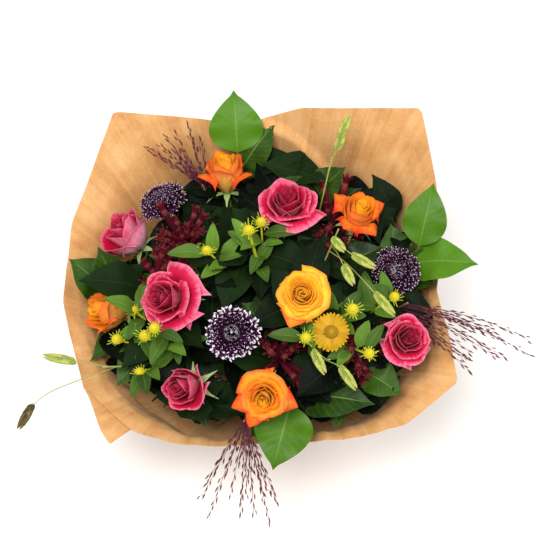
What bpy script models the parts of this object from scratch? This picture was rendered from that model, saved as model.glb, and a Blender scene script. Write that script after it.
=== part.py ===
"""A hand-tied mixed bouquet in a kraft paper wrap, standing on the level-cut ends of its spiralled stems.

Metres, +Z up. The tie is on the Z axis until the last step, which sets the middle of the bouquet's box over
the origin. Each stem, with what grows on it, is a body of its own, and so is each rose and scabious head.
"""

import math
import random

import bmesh
import bpy
import numpy as np
from mathutils import Matrix, Vector
from mathutils.bvhtree import BVHTree

MM = 0.001
SHARP = 35  # degrees between faces, past which their edge stays sharp
UP = Vector((0, 0, 1))

# Driving dimensions
TIE_HEIGHT = 88 * MM  # the binding point above the cut ends
BUNDLE_RADIUS = 15 * MM  # the stems' bundle at the tie, before packing
FOOT_RADIUS = 40 * MM  # how far the outer stems splay at the floor
STEM_GAP = 0.3 * MM  # between stems where they are bound
SLANT = 1.03  # how much wider a slanting stem is, cut level, than cut across
STRAIGHT = 30 * MM  # above the tie, before the stems start to bend out to their heads
PETAL = 0.8 * MM
ROSE_BASE = 0.38  # the height of a rose's base, as a share of the bloom's
LEAF = 0.7 * MM
PAPER = 0.9 * MM
SEAT_GAP = 0.3 * MM  # between a flower head and the stem that carries it
CLEARANCE = 0.3 * MM  # between a leaf and what it is bent clear of
SKIRT = 44 * MM  # how far the paper hangs below the tie
WAIST = 4 * MM  # half the height over which the tie pinches the paper
HANDLE_LEAN = (0.12, -0.10, 0)  # slope of the bundle at the tie, which brings the feet under the heavier side
PAPER_LAP = 2.4 * MM  # the sheet's outer end lies this far outside its inner end
LAP_SPREAD = 0.75  # share of that which is sideways; the rest lies below
TIE_CORD = 1.3 * MM  # radius
TIE_TURNS = 2
TIE_FACETS = 12
ROSE_SEPAL = 21 * MM
SCABIOUS_SEPAL = 15 * MM
ROSE_LEAF = 48 * MM
HELENIUM_LEAF = 13 * MM  # wide
SPIKELET = 8.5 * MM  # wide

SPLAY = math.sqrt((FOOT_RADIUS / BUNDLE_RADIUS) ** 2 - 1) / TIE_HEIGHT  # turn per metre of the spiral

# Roses: (x, y, z) of the bloom's middle in mm, the bearing and lean of its face in degrees, its radius and
# height in mm, how open it is from 0 to 1, and its colour.
ROSES = {
    "back": ((-52, 146, 291), 95, 33, 20, 44, 0.25, "orange"),
    "back_pink": ((14, 89, 326), 85, 8, 27, 38, 0.75, "pink"),
    "back_right": ((86, 88, 311), 30, 20, 20, 36, 0.45, "orange"),
    "left_pink": ((-156, 80, 273), 160, 42, 27, 44, 0.35, "pink"),
    "left": ((-172, -4, 267), 188, 60, 22, 42, 0.30, "orange"),
    "centre_left": ((-104, -13, 319), 215, 30, 28, 38, 0.60, "pink"),
    "centre": ((27, -19, 345), 270, 20, 24, 30, 1.00, "yellow"),
    "front_left": ((-86, -98, 297), 230, 38, 23, 38, 0.40, "pink"),
    "front": ((-10, -112, 309), 264, 31, 22, 34, 0.85, "orange"),
    "right_pink": ((131, -49, 297), 300, 20, 21, 36, 0.50, "pink"),
}
# Scabious: middle of the head, bearing and lean of its face, radius in mm.
SCABIOUS = {
    "back_left": ((-121, 117, 291), 144, 36, 25),
    "right": ((124, 25, 309), 300, 14, 24),
    "front": ((-42, -56, 335), 262, 24, 25),
}
# Helenium: the top bud, then the other buds of the spray, in mm.
HELENIUM = {
    "left": ((-128, -51, 313), [(-118, -48, 326), (-158, -46, 293), (-142, -18, 302), (-134, -80, 289)]),
    "back": ((-26, 50, 343), [(-68, 36, 327), (-14, 66, 331)]),
    "right": ((76, -34, 339), [(30, -62, 335), (118, -14, 325), (92, -72, 319)]),
}
HELENIUM_FLOWER = ((55, -54, 333), 287, 18)
# Kangaroo paws: where the fan of flowers starts, and how many there are.
PAWS = {
    "back_left": ((-98, 74, 279), 5),
    "left": ((-122, 30, 279), 5),
    "front": ((4, -62, 285), 6),
    "right": ((84, -50, 273), 5),
    "back_right": ((64, 96, 283), 4),
}
# Fountain grass: where the plume parts, its direction, how far it reaches, its fan in degrees, how many
# strands it has and how far they droop for their length, in mm.
GRASSES = {
    "back": ((-76, 136, 279), (-40, 52, 62), 100, 22, 6, 0.15),
    "right": ((132, -10, 301), (110, -40, 10), 142, 12, 7, 0.40),
    "front": ((-30, -126, 279), (-4, -62, -8), 104, 27, 7, 0.25),
    "inner": ((-44, -84, 279), (-8, -34, 60), 34, 44, 5, 0.1),
}
# Sea oats: the stem's top, then each spikelet from its stalk end to its tip, in mm.
OATS = {
    "left": (
        (-168, -74, 291),
        [((-196, -72, 299), (-230, -64, 295)), ((-242, -104, 267), (-258, -124, 249))],
    ),
    "back": ((58, 136, 335), [((66, 152, 353), (76, 172, 365)), ((63, 143, 343), (70, 158, 355))]),
    "centre": (
        (62, 44, 355),
        [
            ((56, 34, 363), (68, 18, 365)),
            ((74, 16, 363), (98, 4, 357)),
            ((66, 4, 365), (76, -16, 361)),
            ((96, -20, 353), (116, -40, 343)),
        ],
    ),
    "front": ((52, -84, 335), [((36, -76, 343), (48, -98, 335)), ((62, -90, 335), (78, -110, 325))]),
}
# Salal: the stem's top, then each leaf's tip and width in mm, from the topmost down.
SALAL = {
    "back": (
        (-40, 168, 289),
        [((-44, 228, 325), 56), ((-18, 196, 319), 40),
         ((-4, 160, 295), 34), ((-84, 150, 286), 40)],
    ),
    "back_right": (
        (44, 124, 277),
        [((74, 140, 315), 38), ((4, 132, 307), 40),
         ((92, 126, 295), 34), ((50, 172, 297), 40)],
    ),
    "right": (
        (150, 56, 289),
        [((164, 118, 321), 44), ((208, 34, 301), 48),
         ((120, 84, 295), 36), ((166, 18, 287), 38)],
    ),
    "left": (
        (-176, 26, 245),
        [((-214, 50, 281), 44), ((-176, 84, 269), 40),
         ((-142, 50, 273), 36), ((-196, -34, 258), 38)],
    ),
    "front": (
        (18, -100, 269),
        [((-2, -168, 249), 58), ((100, -108, 275), 48),
         ((52, -66, 285), 40), ((-34, -132, 262), 38)],
    ),
    "inner_left": (
        (-52, 26, 267),
        [((-90, 62, 291), 42), ((-70, -22, 285), 40),
         ((-24, 62, 293), 38), ((-112, 22, 283), 40)],
    ),
    "inner_right": (
        (62, 40, 269),
        [((112, 60, 289), 42), ((36, 84, 291), 38),
         ((92, 8, 291), 38), ((56, -8, 291), 36)],
    ),
    "inner_front": (
        (-4, -30, 273),
        [((-34, -6, 295), 40), ((34, -54, 293), 38),
         ((-60, -46, 283), 34), ((-70, -104, 262), 40)],
    ),
    "front_left": (
        (-126, -36, 258),
        [((-160, -84, 262), 38), ((-128, -112, 254), 40),
         ((-84, -122, 254), 38), ((-150, -20, 268), 38)],
    ),
    "front_right": (
        (88, -66, 262),
        [((128, -92, 258), 38), ((150, -24, 272), 38),
         ((60, -128, 255), 40), ((96, -30, 285), 34)],
    ),
}
# The wrap's rim: bearing in degrees, reach and height in mm. The corners of the sheet stand out.
RIM = [
    (7, 166, 268), (22, 182, 285), (37, 210, 307), (52, 246, 343), (60, 236, 343),
    (82, 206, 327), (98, 202, 305), (110, 216, 307), (130, 264, 323), (139, 250, 309),
    (156, 230, 281), (176, 218, 257), (200, 206, 235), (217, 184, 226), (232, 158, 226),
    (250, 134, 228), (280, 124, 229), (305, 146, 233), (320, 172, 239), (338, 198, 255),
    (352, 178, 259),
]
# The wrap's belly, where it turns from cone to flare.
BELLY = [
    (0, 150, 223), (45, 168, 241), (90, 172, 245), (135, 188, 233),
    (180, 184, 213), (225, 150, 195), (270, 112, 193), (315, 134, 203),
]
SHEET_END = 216  # bearing of the sheet's outer end, whose corner stands out past the rim
SHEET_OVERLAP = 34  # degrees by which the inner end runs on behind it
SHEET_CORNER = (-16, -14, -14)  # how far that corner stands out, in mm

STEM_WIDTH = {  # in mm
    "rose": 5.0, "scabious": 2.6, "helenium": 3.6, "kangaroo_paw": 4.2, "fountain_grass": 2.2,
    "sea_oats": 1.8, "salal": 4.2,
}

# Linear red, green and blue, and the roughness
COLOURS = {
    "petal_orange": ((0.85, 0.2, 0.03), 0.55),
    "petal_pink": ((0.68, 0.03, 0.13), 0.55),
    "petal_yellow": ((0.9, 0.4, 0.03), 0.55),
    "scabious_florets": ((0.1, 0.01, 0.07), 0.6),
    "helenium_rays": ((0.8, 0.42, 0.01), 0.6),
    "green_stem": ((0.1, 0.22, 0.03), 0.5),
    "helenium_green": ((0.16, 0.36, 0.04), 0.5),
    "salal_green": ((0.03, 0.14, 0.02), 0.4),
    "paw_burgundy": ((0.11, 0.01, 0.015), 0.8),
    "grass_purple": ((0.1, 0.02, 0.04), 0.7),
    "oats_green": ((0.3, 0.42, 0.06), 0.6),
    "kraft_paper": ((0.62, 0.36, 0.16), 0.8),
    "jute": ((0.5, 0.36, 0.2), 0.9),
}

# What is already in place: for each node, the search trees of its pieces
PLACED = {}
# Turns about the vertical and lifts, in degrees, tried in this order to bend a piece clear
BENDS = [(turn, lift) for lift in (0, 12, -12, 24) for turn in (0, 9, -9, 18, -18, 30, -30, 45, -45)]


# --- helpers ---


def clear_scene():
    for old in list(bpy.data.objects):
        bpy.data.objects.remove(old)


def material_named(name):
    material = bpy.data.materials.get(name)
    if material is None:
        colour, roughness = COLOURS[name]
        material = bpy.data.materials.new(name)
        material.use_nodes = True
        shader = material.node_tree.nodes["Principled BSDF"]
        shader.inputs["Base Color"].default_value = (*colour, 1)
        shader.inputs["Roughness"].default_value = roughness
        shader.inputs["Metallic"].default_value = 0.0
    return material


def spot(place):
    return Vector(place) * MM


def facing(bearing, lean):
    """The unit vector that leans that far from upright, towards a bearing."""
    a, b = math.radians(bearing), math.radians(lean)
    return Vector((math.sin(b) * math.cos(a), math.sin(b) * math.sin(a), math.cos(b)))


def frame(origin, forward, up):
    """The matrix that puts local Y along forward and local Z near up."""
    y = forward.normalized()
    x = y.cross(up).normalized()
    matrix = Matrix((x, y, x.cross(y))).transposed().to_4x4()
    matrix.translation = origin
    return matrix


def seat(origin, axis, turn=0.0):
    """The matrix that stands a head on a stem, its local Z along the stem's end."""
    matrix = axis.to_track_quat("Z", "Y").to_matrix().to_4x4() @ Matrix.Rotation(turn, 4, "Z")
    matrix.translation = origin
    return matrix


def smooth(share):
    share = min(1.0, max(0.0, share))
    return share * share * (3 - 2 * share)


def hermite(start, start_pull, end, end_pull, count):
    points = []
    for i in range(count + 1):
        t = i / count
        points.append(
            start * (2 * t**3 - 3 * t**2 + 1)
            + start_pull * (t**3 - 2 * t**2 + t)
            + end * (3 * t**2 - 2 * t**3)
            + end_pull * (t**3 - t**2)
        )
    return points


def along(points, share):
    """The point at that share of the way along a line, and the direction there."""
    lengths = [0.0]
    for a, b in zip(points, points[1:]):
        lengths.append(lengths[-1] + (b - a).length)
    wanted = share * lengths[-1]
    for i in range(len(points) - 1):
        if wanted <= lengths[i + 1] or i == len(points) - 2:
            step = points[i + 1] - points[i]
            return points[i] + step * ((wanted - lengths[i]) / step.length), step.normalized()


def from_bmesh(shape):
    bmesh.ops.recalc_face_normals(shape, faces=shape.faces)
    mesh = bpy.data.meshes.new("piece")
    shape.to_mesh(mesh)
    shape.free()
    made = bpy.data.objects.new("piece", mesh)
    bpy.context.scene.collection.objects.link(made)
    return made


def bridge(shape, rings):
    """Joins rings of vertices into a skin and closes both of its ends."""
    count = len(rings[0])
    for lower, upper in zip(rings, rings[1:]):
        for k in range(count):
            shape.faces.new((lower[k], lower[(k + 1) % count], upper[(k + 1) % count], upper[k]))
    return shape.faces.new(rings[0][::-1]), shape.faces.new(rings[-1])


def tube(points, radii, sides, level_foot=False, split=0.0):
    """A round stem through the points. Its foot may be cut level and its mouth split, to that depth."""
    shape = bmesh.new()
    rings = []
    side = Vector((1, 0, 0)) if abs((points[1] - points[0]).normalized().x) < 0.9 else UP
    for i, (point, radius) in enumerate(zip(points, radii)):
        way = (points[min(i + 1, len(points) - 1)] - points[max(i - 1, 0)]).normalized()
        side = (side - way * side.dot(way)).normalized()
        other = way.cross(side)
        ring = []
        for k in range(sides):
            turn = math.tau * k / sides
            corner = point + (side * math.cos(turn) + other * math.sin(turn)) * radius
            if level_foot and i == 0:
                corner -= way * ((corner.z - point.z) / way.z)
            ring.append(shape.verts.new(corner))
        rings.append(ring)
    _, mouth = bridge(shape, rings)
    if split:
        throat = bmesh.ops.poke(shape, faces=[mouth])["verts"][0]
        throat.co -= way * split
    return from_bmesh(shape)


def blade(columns, rows, place, thickness):
    """A thin closed blade. place(u, v) gives its face, with u from -1 to 1 across and v from 0 to 1 along."""
    shape = bmesh.new()
    bmesh.ops.create_grid(shape, x_segments=columns, y_segments=rows, size=1)
    for vert in shape.verts:
        vert.co = place(vert.co.x, (vert.co.y + 1) / 2)
    bmesh.ops.remove_doubles(shape, verts=shape.verts, dist=0.01 * MM)
    bmesh.ops.triangulate(shape, faces=shape.faces)
    bmesh.ops.recalc_face_normals(shape, faces=shape.faces)
    bmesh.ops.solidify(shape, geom=shape.faces[:], thickness=thickness)
    return from_bmesh(shape)


def turned(profile, sides, matrix):
    """A closed turned body from (radius, height) pairs, bottom to top."""
    shape = bmesh.new()
    rings = []
    for radius, z in profile:
        ring = []
        for k in range(sides):
            a = math.tau * k / sides
            ring.append(shape.verts.new(matrix @ Vector((radius * math.cos(a), radius * math.sin(a), z))))
        rings.append(ring)
    bridge(shape, rings)
    return from_bmesh(shape)


def drop_scraps(mesh):
    """Keeps a mesh's largest body and leaves out the crumbs that a join can shed."""
    shape = bmesh.new()
    shape.from_mesh(mesh)
    waiting = set(shape.verts)
    bodies = []
    while waiting:
        body, edge = set(), [waiting.pop()]
        while edge:
            vert = edge.pop()
            body.add(vert)
            near = {link.other_vert(vert) for link in vert.link_edges} & waiting
            waiting -= near
            edge.extend(near)
        bodies.append(body)
    bodies.sort(key=len)
    for scrap in bodies[:-1]:
        bmesh.ops.delete(shape, geom=list(scrap), context="VERTS")
    shape.to_mesh(mesh)
    shape.free()


def fuse(name, pieces, material):
    """One solid from pieces that run into each other. The exact solver takes minutes on this many leaves."""
    base, others = pieces[0], pieces[1:]
    if others:
        group = bpy.data.collections.new(name + "_pieces")
        for piece in others:
            group.objects.link(piece)
        join = base.modifiers.new("join", "BOOLEAN")
        join.operation = "UNION"
        join.solver = "MANIFOLD"
        join.operand_type = "COLLECTION"
        join.collection = group
    bpy.context.view_layer.update()
    evaluated = base.evaluated_get(bpy.context.evaluated_depsgraph_get())
    mesh = bpy.data.meshes.new_from_object(evaluated)
    for piece in pieces:
        bpy.data.objects.remove(piece)
    if others:
        bpy.data.collections.remove(group)
    drop_scraps(mesh)
    mesh.name = name
    mesh.materials.clear()
    mesh.materials.append(material_named(material))
    mesh.shade_smooth()
    mesh.set_sharp_from_angle(angle=math.radians(SHARP))
    made = bpy.data.objects.new(name, mesh)
    bpy.context.scene.collection.objects.link(made)
    return made


# --- keeping clear ---


def search_tree(piece):
    places = [vert.co for vert in piece.data.vertices]
    low = [min(axis) for axis in zip(*places)]
    high = [max(axis) for axis in zip(*places)]
    return BVHTree.FromPolygons(places, [face.vertices for face in piece.data.polygons]), low, high


def claim(node, pieces):
    """Notes the room that pieces of a node take, and hands them back."""
    PLACED.setdefault(node, []).extend(search_tree(piece) for piece in pieces)
    return pieces


def crosses(node, piece):
    """Whether a piece runs into one of any other node's."""
    tree, low, high = search_tree(piece)
    for other, trees in PLACED.items():
        for taken, taken_low, taken_high in trees if other != node else []:
            apart = any(a > d or c > b for a, b, c, d in zip(low, high, taken_low, taken_high))
            if not apart and tree.overlap(taken):
                return True
    return False


def bend(way, turn, lift):
    """A direction turned about the vertical and lifted, in degrees."""
    level = Vector((way.y, -way.x, 0))
    lifted = Matrix.Rotation(math.radians(lift), 3, level) @ way if level.length > 0 else way
    return Matrix.Rotation(math.radians(turn), 3, "Z") @ lifted


def grow_clear(node, way, grow, apart=True):
    """Grows pieces along way, or bent off it just as far as keeps them clear of all but their own stem."""
    for turn, lift in BENDS:
        bent = bend(way, turn, lift)
        tried = grow(bent, CLEARANCE)
        free = not any(crosses(node, piece) for piece in tried)
        for piece in tried:
            bpy.data.objects.remove(piece)
        if free:
            return claim(node + " growth" if apart else node, grow(bent, 0.0))
    return []


# --- the spiral of stems ---


def stem_table():
    """Each stem's name, kind, top and the direction of its last stretch."""
    rows = []
    for name, (middle, bearing, lean, _, height, _, _) in ROSES.items():
        axis = facing(bearing, lean)
        rows.append(("rose_" + name, "rose", spot(middle) - axis * (height / 2) * MM, axis))
    for name, (middle, bearing, lean, radius) in SCABIOUS.items():
        axis = facing(bearing, lean)
        rows.append(("scabious_" + name, "scabious", spot(middle) - axis * radius * 0.5 * MM, axis))
    sprays = {
        "helenium": HELENIUM,
        "kangaroo_paw": PAWS,
        "fountain_grass": GRASSES,
        "sea_oats": OATS,
        "salal": SALAL,
    }
    for kind, table in sprays.items():
        for name, row in table.items():
            top = spot(row[0])
            out = Vector((top.x, top.y, 0)) / 0.2
            rows.append((f"{kind}_{name}", kind, top, (out + UP).normalized()))
    return rows


def packed_waist(rows):
    """Where each stem crosses the tie: in the order of the heads, turned by the spiral and pressed tight."""
    places, sizes = [], []
    for _, kind, top, _ in rows:
        turn = math.atan2(top.y, top.x) - math.atan(SPLAY * (top.z - TIE_HEIGHT))
        reach = math.hypot(top.x, top.y) / 0.2 * BUNDLE_RADIUS
        places.append((reach * math.cos(turn), reach * math.sin(turn)))
        sizes.append((STEM_WIDTH[kind] * MM * SLANT + STEM_GAP) / 2)
    spots, sizes = np.array(places), np.array(sizes)
    for step in range(900):
        if step < 700:
            spots *= 0.996
        apart = spots[:, None] - spots[None]
        distance = np.hypot(apart[..., 0], apart[..., 1]) + np.eye(len(spots))
        short = np.maximum(0, sizes[:, None] + sizes[None] - distance)
        np.fill_diagonal(short, 0)
        spots = spots + 0.5 * (apart * (short / distance)[..., None]).sum(1)
    return spots


def routes(rows, waist):
    """Each stem's centre line, from its cut end on the floor through the tie to its top."""
    lines = {}
    for (name, _, top, end), (x, y) in zip(rows, waist):
        way = Vector((-y * SPLAY, x * SPLAY, 1)) + Vector(HANDLE_LEAN)
        foot = Vector((x, y, TIE_HEIGHT)) - way * TIE_HEIGHT
        leave = foot + way * (TIE_HEIGHT + STRAIGHT)
        pull = (top - leave).length * 0.9
        before = top - end * 3 * MM
        lines[name] = [foot, *hermite(leave, way * pull, before, end * pull, 3), top]
    return lines


def stem(line, kind, swell):
    """The stem's own tube, whose top swells where it carries a bloom."""
    radius = STEM_WIDTH[kind] / 2 * MM
    radii = [radius * (1 - 0.04 * i) for i in range(len(line))]
    radii[-1] = radius * swell
    return tube(line, radii, 3 if radius < 1.5 * MM else 4, level_foot=True)


# --- flowers and leaves ---


def rose_petal(matrix, bearing, spread, reach, height, flare, point, columns, rows):
    """One upright petal, standing on the bloom's base. Flare opens its top, and point draws its tip out."""
    foot = ROSE_BASE - 0.06

    def place(u, v):
        turn = bearing + u * spread
        curl = smooth((v - 0.2) / 0.8)
        out = reach + flare * curl + point * (1 - abs(u)) * curl
        rise = height * (foot + (1 - foot) * v) * (1 - 0.16 * u * u * v) - abs(flare) * 0.35 * v * v
        return matrix @ Vector((out * math.cos(turn), out * math.sin(turn), rise))

    return blade(columns, rows, place, PETAL)


def rose_whorls(radius, height, open_):
    """For each whorl: count, reach, height, flare, point, half spread in degrees, columns and rows."""
    close = 1 - 0.25 * open_
    return [
        (2, 0.36 * close * radius, 1.00 * height, (0.22 * open_ - 0.10) * radius, 0.0, 80, 2, 1),
        (3, 0.62 * close * radius, 0.95 * height, (0.30 * open_ - 0.02) * radius, 0.02 * radius, 56, 2, 1),
        (3, 0.88 * close * radius, 0.84 * height, (0.12 + 0.24 * open_) * radius, 0.10 * radius, 57, 3, 2),
    ]


def rose_bloom(name, top, axis, radius, height, open_, colour):
    """A cup of a base, a slim bud in its middle and whorls of petals round it, which open with age."""
    matrix = seat(top + axis * SEAT_GAP, axis, turn=len(name))
    whorls = rose_whorls(radius, height, open_)
    rim = whorls[-1][1] + PETAL + 0.4 * MM
    base = [(0.22 * radius, 0.0), (0.97 * rim, 0.28 * height), (rim, ROSE_BASE * height)]
    pieces = [turned(base, 9, matrix @ Matrix.Rotation(math.radians(20), 4, "Z"))]
    pieces.append(turned([(0.2 * radius, 0.3 * height), (0.06 * radius, 0.92 * height)], 5, matrix))
    for ring, (count, reach, rise, flare, point, spread, columns, rows) in enumerate(whorls):
        for k in range(count):
            bearing = math.tau * (k + 0.5 * (ring % 2)) / count
            pieces.append(
                rose_petal(matrix, bearing, math.radians(spread), reach, rise, flare, point, columns, rows)
            )
    return claim(name, [fuse(name, pieces, "petal_" + colour)])


def star(matrix, outer, inner, droop, points, thickness, turn=0.0):
    """A thin star, drooping towards its points, for a calyx."""
    shape = bmesh.new()
    hub = shape.verts.new((0, 0, 0))
    edge = []
    for k in range(2 * points):
        reach = inner if k % 2 else outer
        a = math.pi * k / points + turn
        fall = -droop * (reach / outer) ** 2
        edge.append(shape.verts.new((reach * math.cos(a), reach * math.sin(a), fall)))
    for k in range(2 * points):
        shape.faces.new((hub, edge[k], edge[(k + 1) % len(edge)]))
    bmesh.ops.recalc_face_normals(shape, faces=shape.faces)
    bmesh.ops.solidify(shape, geom=shape.faces[:], thickness=thickness)
    shape.transform(matrix)
    return from_bmesh(shape)


def calyx(top, axis, length, turn):
    """Five pointed sepals that spread below the bloom."""
    return star(seat(top - axis * 1.8 * MM, axis), length, 0.22 * length, 0.3 * length, 5, LEAF, turn)


def ovate(share):
    """A broad leaf's half width along its length, as a share of the widest."""
    return abs(math.sin(math.pi * share**0.8)) ** 0.75 * (1.1 - 0.25 * share)


def lance(share):
    return abs(math.sin(math.pi * share**0.9)) ** 0.8 * (1.15 - 0.3 * share)


def leaf(root, way, width, shape, columns, rows, extra=0.0, droop=0.1, fold=0.16, wave=0.03):
    """A stalked leaf from its root along way, arched, folded up at the midrib and waved along its edges."""
    length = way.length
    matrix = frame(root, way, UP)

    def place(u, v):
        share = v * (0.35 + 0.65 * v)
        half = 1.6 * MM * min(1, 8 * share, 8 - 8 * share) + width / 2 * shape(max(0.0, share - 0.1) / 0.9)
        lift = droop * length * math.sin(math.pi * share) + fold * abs(u) * half
        lift += 2 * wave * half * abs(u) * math.sin(share * 16)
        return matrix @ Vector((u * half, length * share, lift))

    return blade(columns, rows, place, LEAF + 2 * extra)


def bud(middle, axis, radius):
    """A helenium bud: a domed disc in a ring of pointed rays."""
    matrix = seat(middle, axis)
    shape = bmesh.new()
    low = shape.verts.new((0, 0, -0.5 * radius))
    high = shape.verts.new((0, 0, 0.62 * radius))
    rays, disc = [], []
    for k in range(12):
        reach = radius * (0.5 if k % 2 else 1.0)
        a = math.pi * k / 6
        rays.append(shape.verts.new((reach * math.cos(a), reach * math.sin(a), 0.1 * radius)))
        if k % 2:
            inner = 0.36 * radius
            disc.append(shape.verts.new((inner * math.cos(a), inner * math.sin(a), 0.45 * radius)))
    for k in range(12):
        shape.faces.new((rays[(k + 1) % 12], rays[k], low))
        near = disc[(k - 1) // 2 % 6] if k % 2 else disc[(k // 2 - 1) % 6]
        shape.faces.new((rays[k], rays[(k + 1) % 12], disc[k // 2]))
        if k % 2 == 0:
            shape.faces.new((rays[k], disc[k // 2], near))
    for k in range(6):
        shape.faces.new((disc[k], disc[(k + 1) % 6], high))
    shape.transform(matrix)
    return from_bmesh(shape)


def scabious_head(name, top, axis, radius):
    """A low dome of cupped florets, larger at the rim, round a sunken middle."""
    matrix = seat(top + axis * SEAT_GAP, axis)
    dome = [(0.3, 0.0), (0.78, 0.14), (0.74, 0.36), (0.45, 0.52), (0.16, 0.5)]
    pieces = [turned([(r * radius, z * radius) for r, z in dome], 6, matrix)]
    for count, lean, out, size in ((9, 80, 0.74, 0.32), (7, 48, 0.54, 0.28), (3, 16, 0.26, 0.22)):
        for k in range(count):
            way = facing(360 / count * k + lean, lean)
            root = Vector((way.x * out * 0.8, way.y * out * 0.8, 0.18 + 0.3 * way.z)) * radius
            cup = [(0.07 * radius, 0.0), (size * 0.62 * radius, 0.42 * radius)]
            pieces.append(turned(cup, 4, matrix @ seat(root, way, turn=k)))
    return claim(name, [fuse(name, pieces, "scabious_florets")])


def helenium_flower(name, top, axis):
    """The one open helenium: a domed disc, with a notched ray drawn out of each of its sides."""
    count = 10
    shape = bmesh.new()
    rings = []
    for radius, z in ((2, 0), (7, 1.6), (7, 2.6), (6, 6), (2.5, 7.5)):
        ring = []
        for k in range(count):
            a = math.tau * (k + 0.5) / count
            ring.append(shape.verts.new(spot((radius * math.cos(a), radius * math.sin(a), z))))
        rings.append(ring)
    bridge(shape, rings)
    bmesh.ops.recalc_face_normals(shape, faces=shape.faces)
    walls = [face for face in shape.faces if len(face.verts) == 4 and abs(face.normal.z) < 0.01]
    for face in bmesh.ops.extrude_discrete_faces(shape, faces=walls)["faces"]:
        out = face.normal.copy()
        side = out.cross(UP)
        for vert in face.verts:
            vert.co += out * 12.5 * MM + side * side.dot(vert.co) * 1.0 - UP * 2.2 * MM
        ends = [edge for edge in face.edges if abs((edge.verts[0].co - edge.verts[1].co).z) < 0.1 * MM]
        for edge in ends:
            notch = bmesh.utils.edge_split(edge, edge.verts[0], 0.5)[1]
            notch.co -= out * 2.5 * MM
    shape.transform(seat(top + axis * SEAT_GAP, axis))
    return claim(name, [fuse(name, [from_bmesh(shape)], "helenium_rays")])


def paw_flower(root, way, arch, extra=0.0):
    """A furry curved tube whose mouth is split into claws."""
    lift = (UP - way * UP.dot(way)).normalized() if abs(way.normalized().z) < 0.99 else Vector((1, 0, 0))
    points = [root + way * t + lift * arch * way.length * t * t for t in (0, 0.4, 0.75, 1)]
    radii = [1.0 * MM, 2.2 * MM, 2.8 * MM, 3.6 * MM]
    return tube(points, [radius + extra for radius in radii], 4, split=7 * MM)


def grass_strand(root, way, sag, extra=0.0):
    """A strand that leaves straight and droops, beaded with spikelets."""
    points, radii = [], []
    for i in range(6):
        t = i / 5
        points.append(root + way * t - UP * sag * way.length * t * t)
        radii.append((1.2 if i in (2, 4) else 0.5) * MM * (1 - 0.25 * t) + extra)
    return tube(points, radii, 3)


def spikelet(root, tip):
    """A flat sea-oat spikelet, toothed along both sides by its overlapping glumes."""
    matrix = frame(root, tip - root, UP)
    length = (tip - root).length

    def place(u, v):
        half = SPIKELET / 2 * max(0.12, math.sin(math.pi * (0.06 + 0.9 * v)) ** 0.8)
        tooth = 1.15 if round(v * 5) % 2 else 0.8
        return matrix @ Vector((u * half * tooth, length * v, 0))

    return blade(1, 5, place, 1.6 * MM)


def shoot(line, share, tip, radius):
    """A side shoot that leaves a stem upwards and ends at its tip."""
    start, way = along(line, share)
    reach = (tip - start).length
    leave = (tip - start) * 0.9 + way * reach * 0.3
    arrive = (tip - start) * 0.7 + UP * reach * 0.4
    points = hermite(start, leave, tip, arrive, 3)
    return points, tube(points, [radius * (1 - 0.1 * i) for i in range(4)], 3)


# --- the stems, each with what grows on it ---


def raise_stems(rows, lines):
    """Every stem's tube, swollen under a bloom. All are in place before anything grows on them."""
    stems = {}
    for name, kind, _, _ in rows:
        swell = {"rose": 1.5, "scabious": 2.0}.get(kind, 1.0)
        node = name if swell == 1 else name + "_stem"
        stems[node] = claim(node, [stem(lines[name], kind, swell)])
    return stems


def build_blooms(lines, stems):
    """The rose and scabious heads, and the sepals below them."""
    for name, (_, bearing, lean, radius, height, open_, colour) in ROSES.items():
        top = lines["rose_" + name][-1]
        axis = facing(bearing, lean)
        node = f"rose_{name}_stem"
        stems[node] += claim(node, [calyx(top, axis, ROSE_SEPAL, len(name))])
        rose_bloom(f"rose_{name}_bloom", top, axis, radius * MM, height * MM, open_, colour)
    for name, (_, bearing, lean, radius) in SCABIOUS.items():
        top = lines["scabious_" + name][-1]
        axis = facing(bearing, lean)
        node = f"scabious_{name}_stem"
        stems[node] += claim(node, [calyx(top, axis, SCABIOUS_SEPAL, 1)])
        scabious_head(f"scabious_{name}_head", top, axis, radius * MM)


def rose_leaf(root, way, extra):
    """A pair of leaflets and an end leaflet, cut to the rib out of one blade."""
    matrix = frame(root, way, UP)
    length = way.length
    rows = [(0.0, 0.0), (0.28, 0.9), (0.48, 14.0), (0.58, 1.6), (0.78, 8.5), (1.0, 0.0)]

    def place(u, v):
        share, half = rows[round(v * 5)]
        sweep = 0.14 * abs(u) if 0.3 < share < 0.7 else 0
        arch = 0.1 * length * math.sin(math.pi * share)
        return matrix @ Vector((u * half * MM, length * (share + sweep), arch))

    return [blade(2, 5, place, LEAF + 2 * extra)]


def finish_blooms(lines, stems):
    """A leaf on each rose stem, and the fused stems of the roses and scabious."""
    for name in ROSES:
        node = f"rose_{name}_stem"
        root, _ = along(lines["rose_" + name], 0.80)
        out = (Vector((root.x, root.y, 0)).normalized() + UP * 0.9).normalized() * ROSE_LEAF
        stems[node] += grow_clear(node, out, lambda way, extra: rose_leaf(root, way, extra))
        fuse(node, stems[node], "green_stem")
    for name in SCABIOUS:
        node = f"scabious_{name}_stem"
        fuse(node, stems[node], "green_stem")


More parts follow.
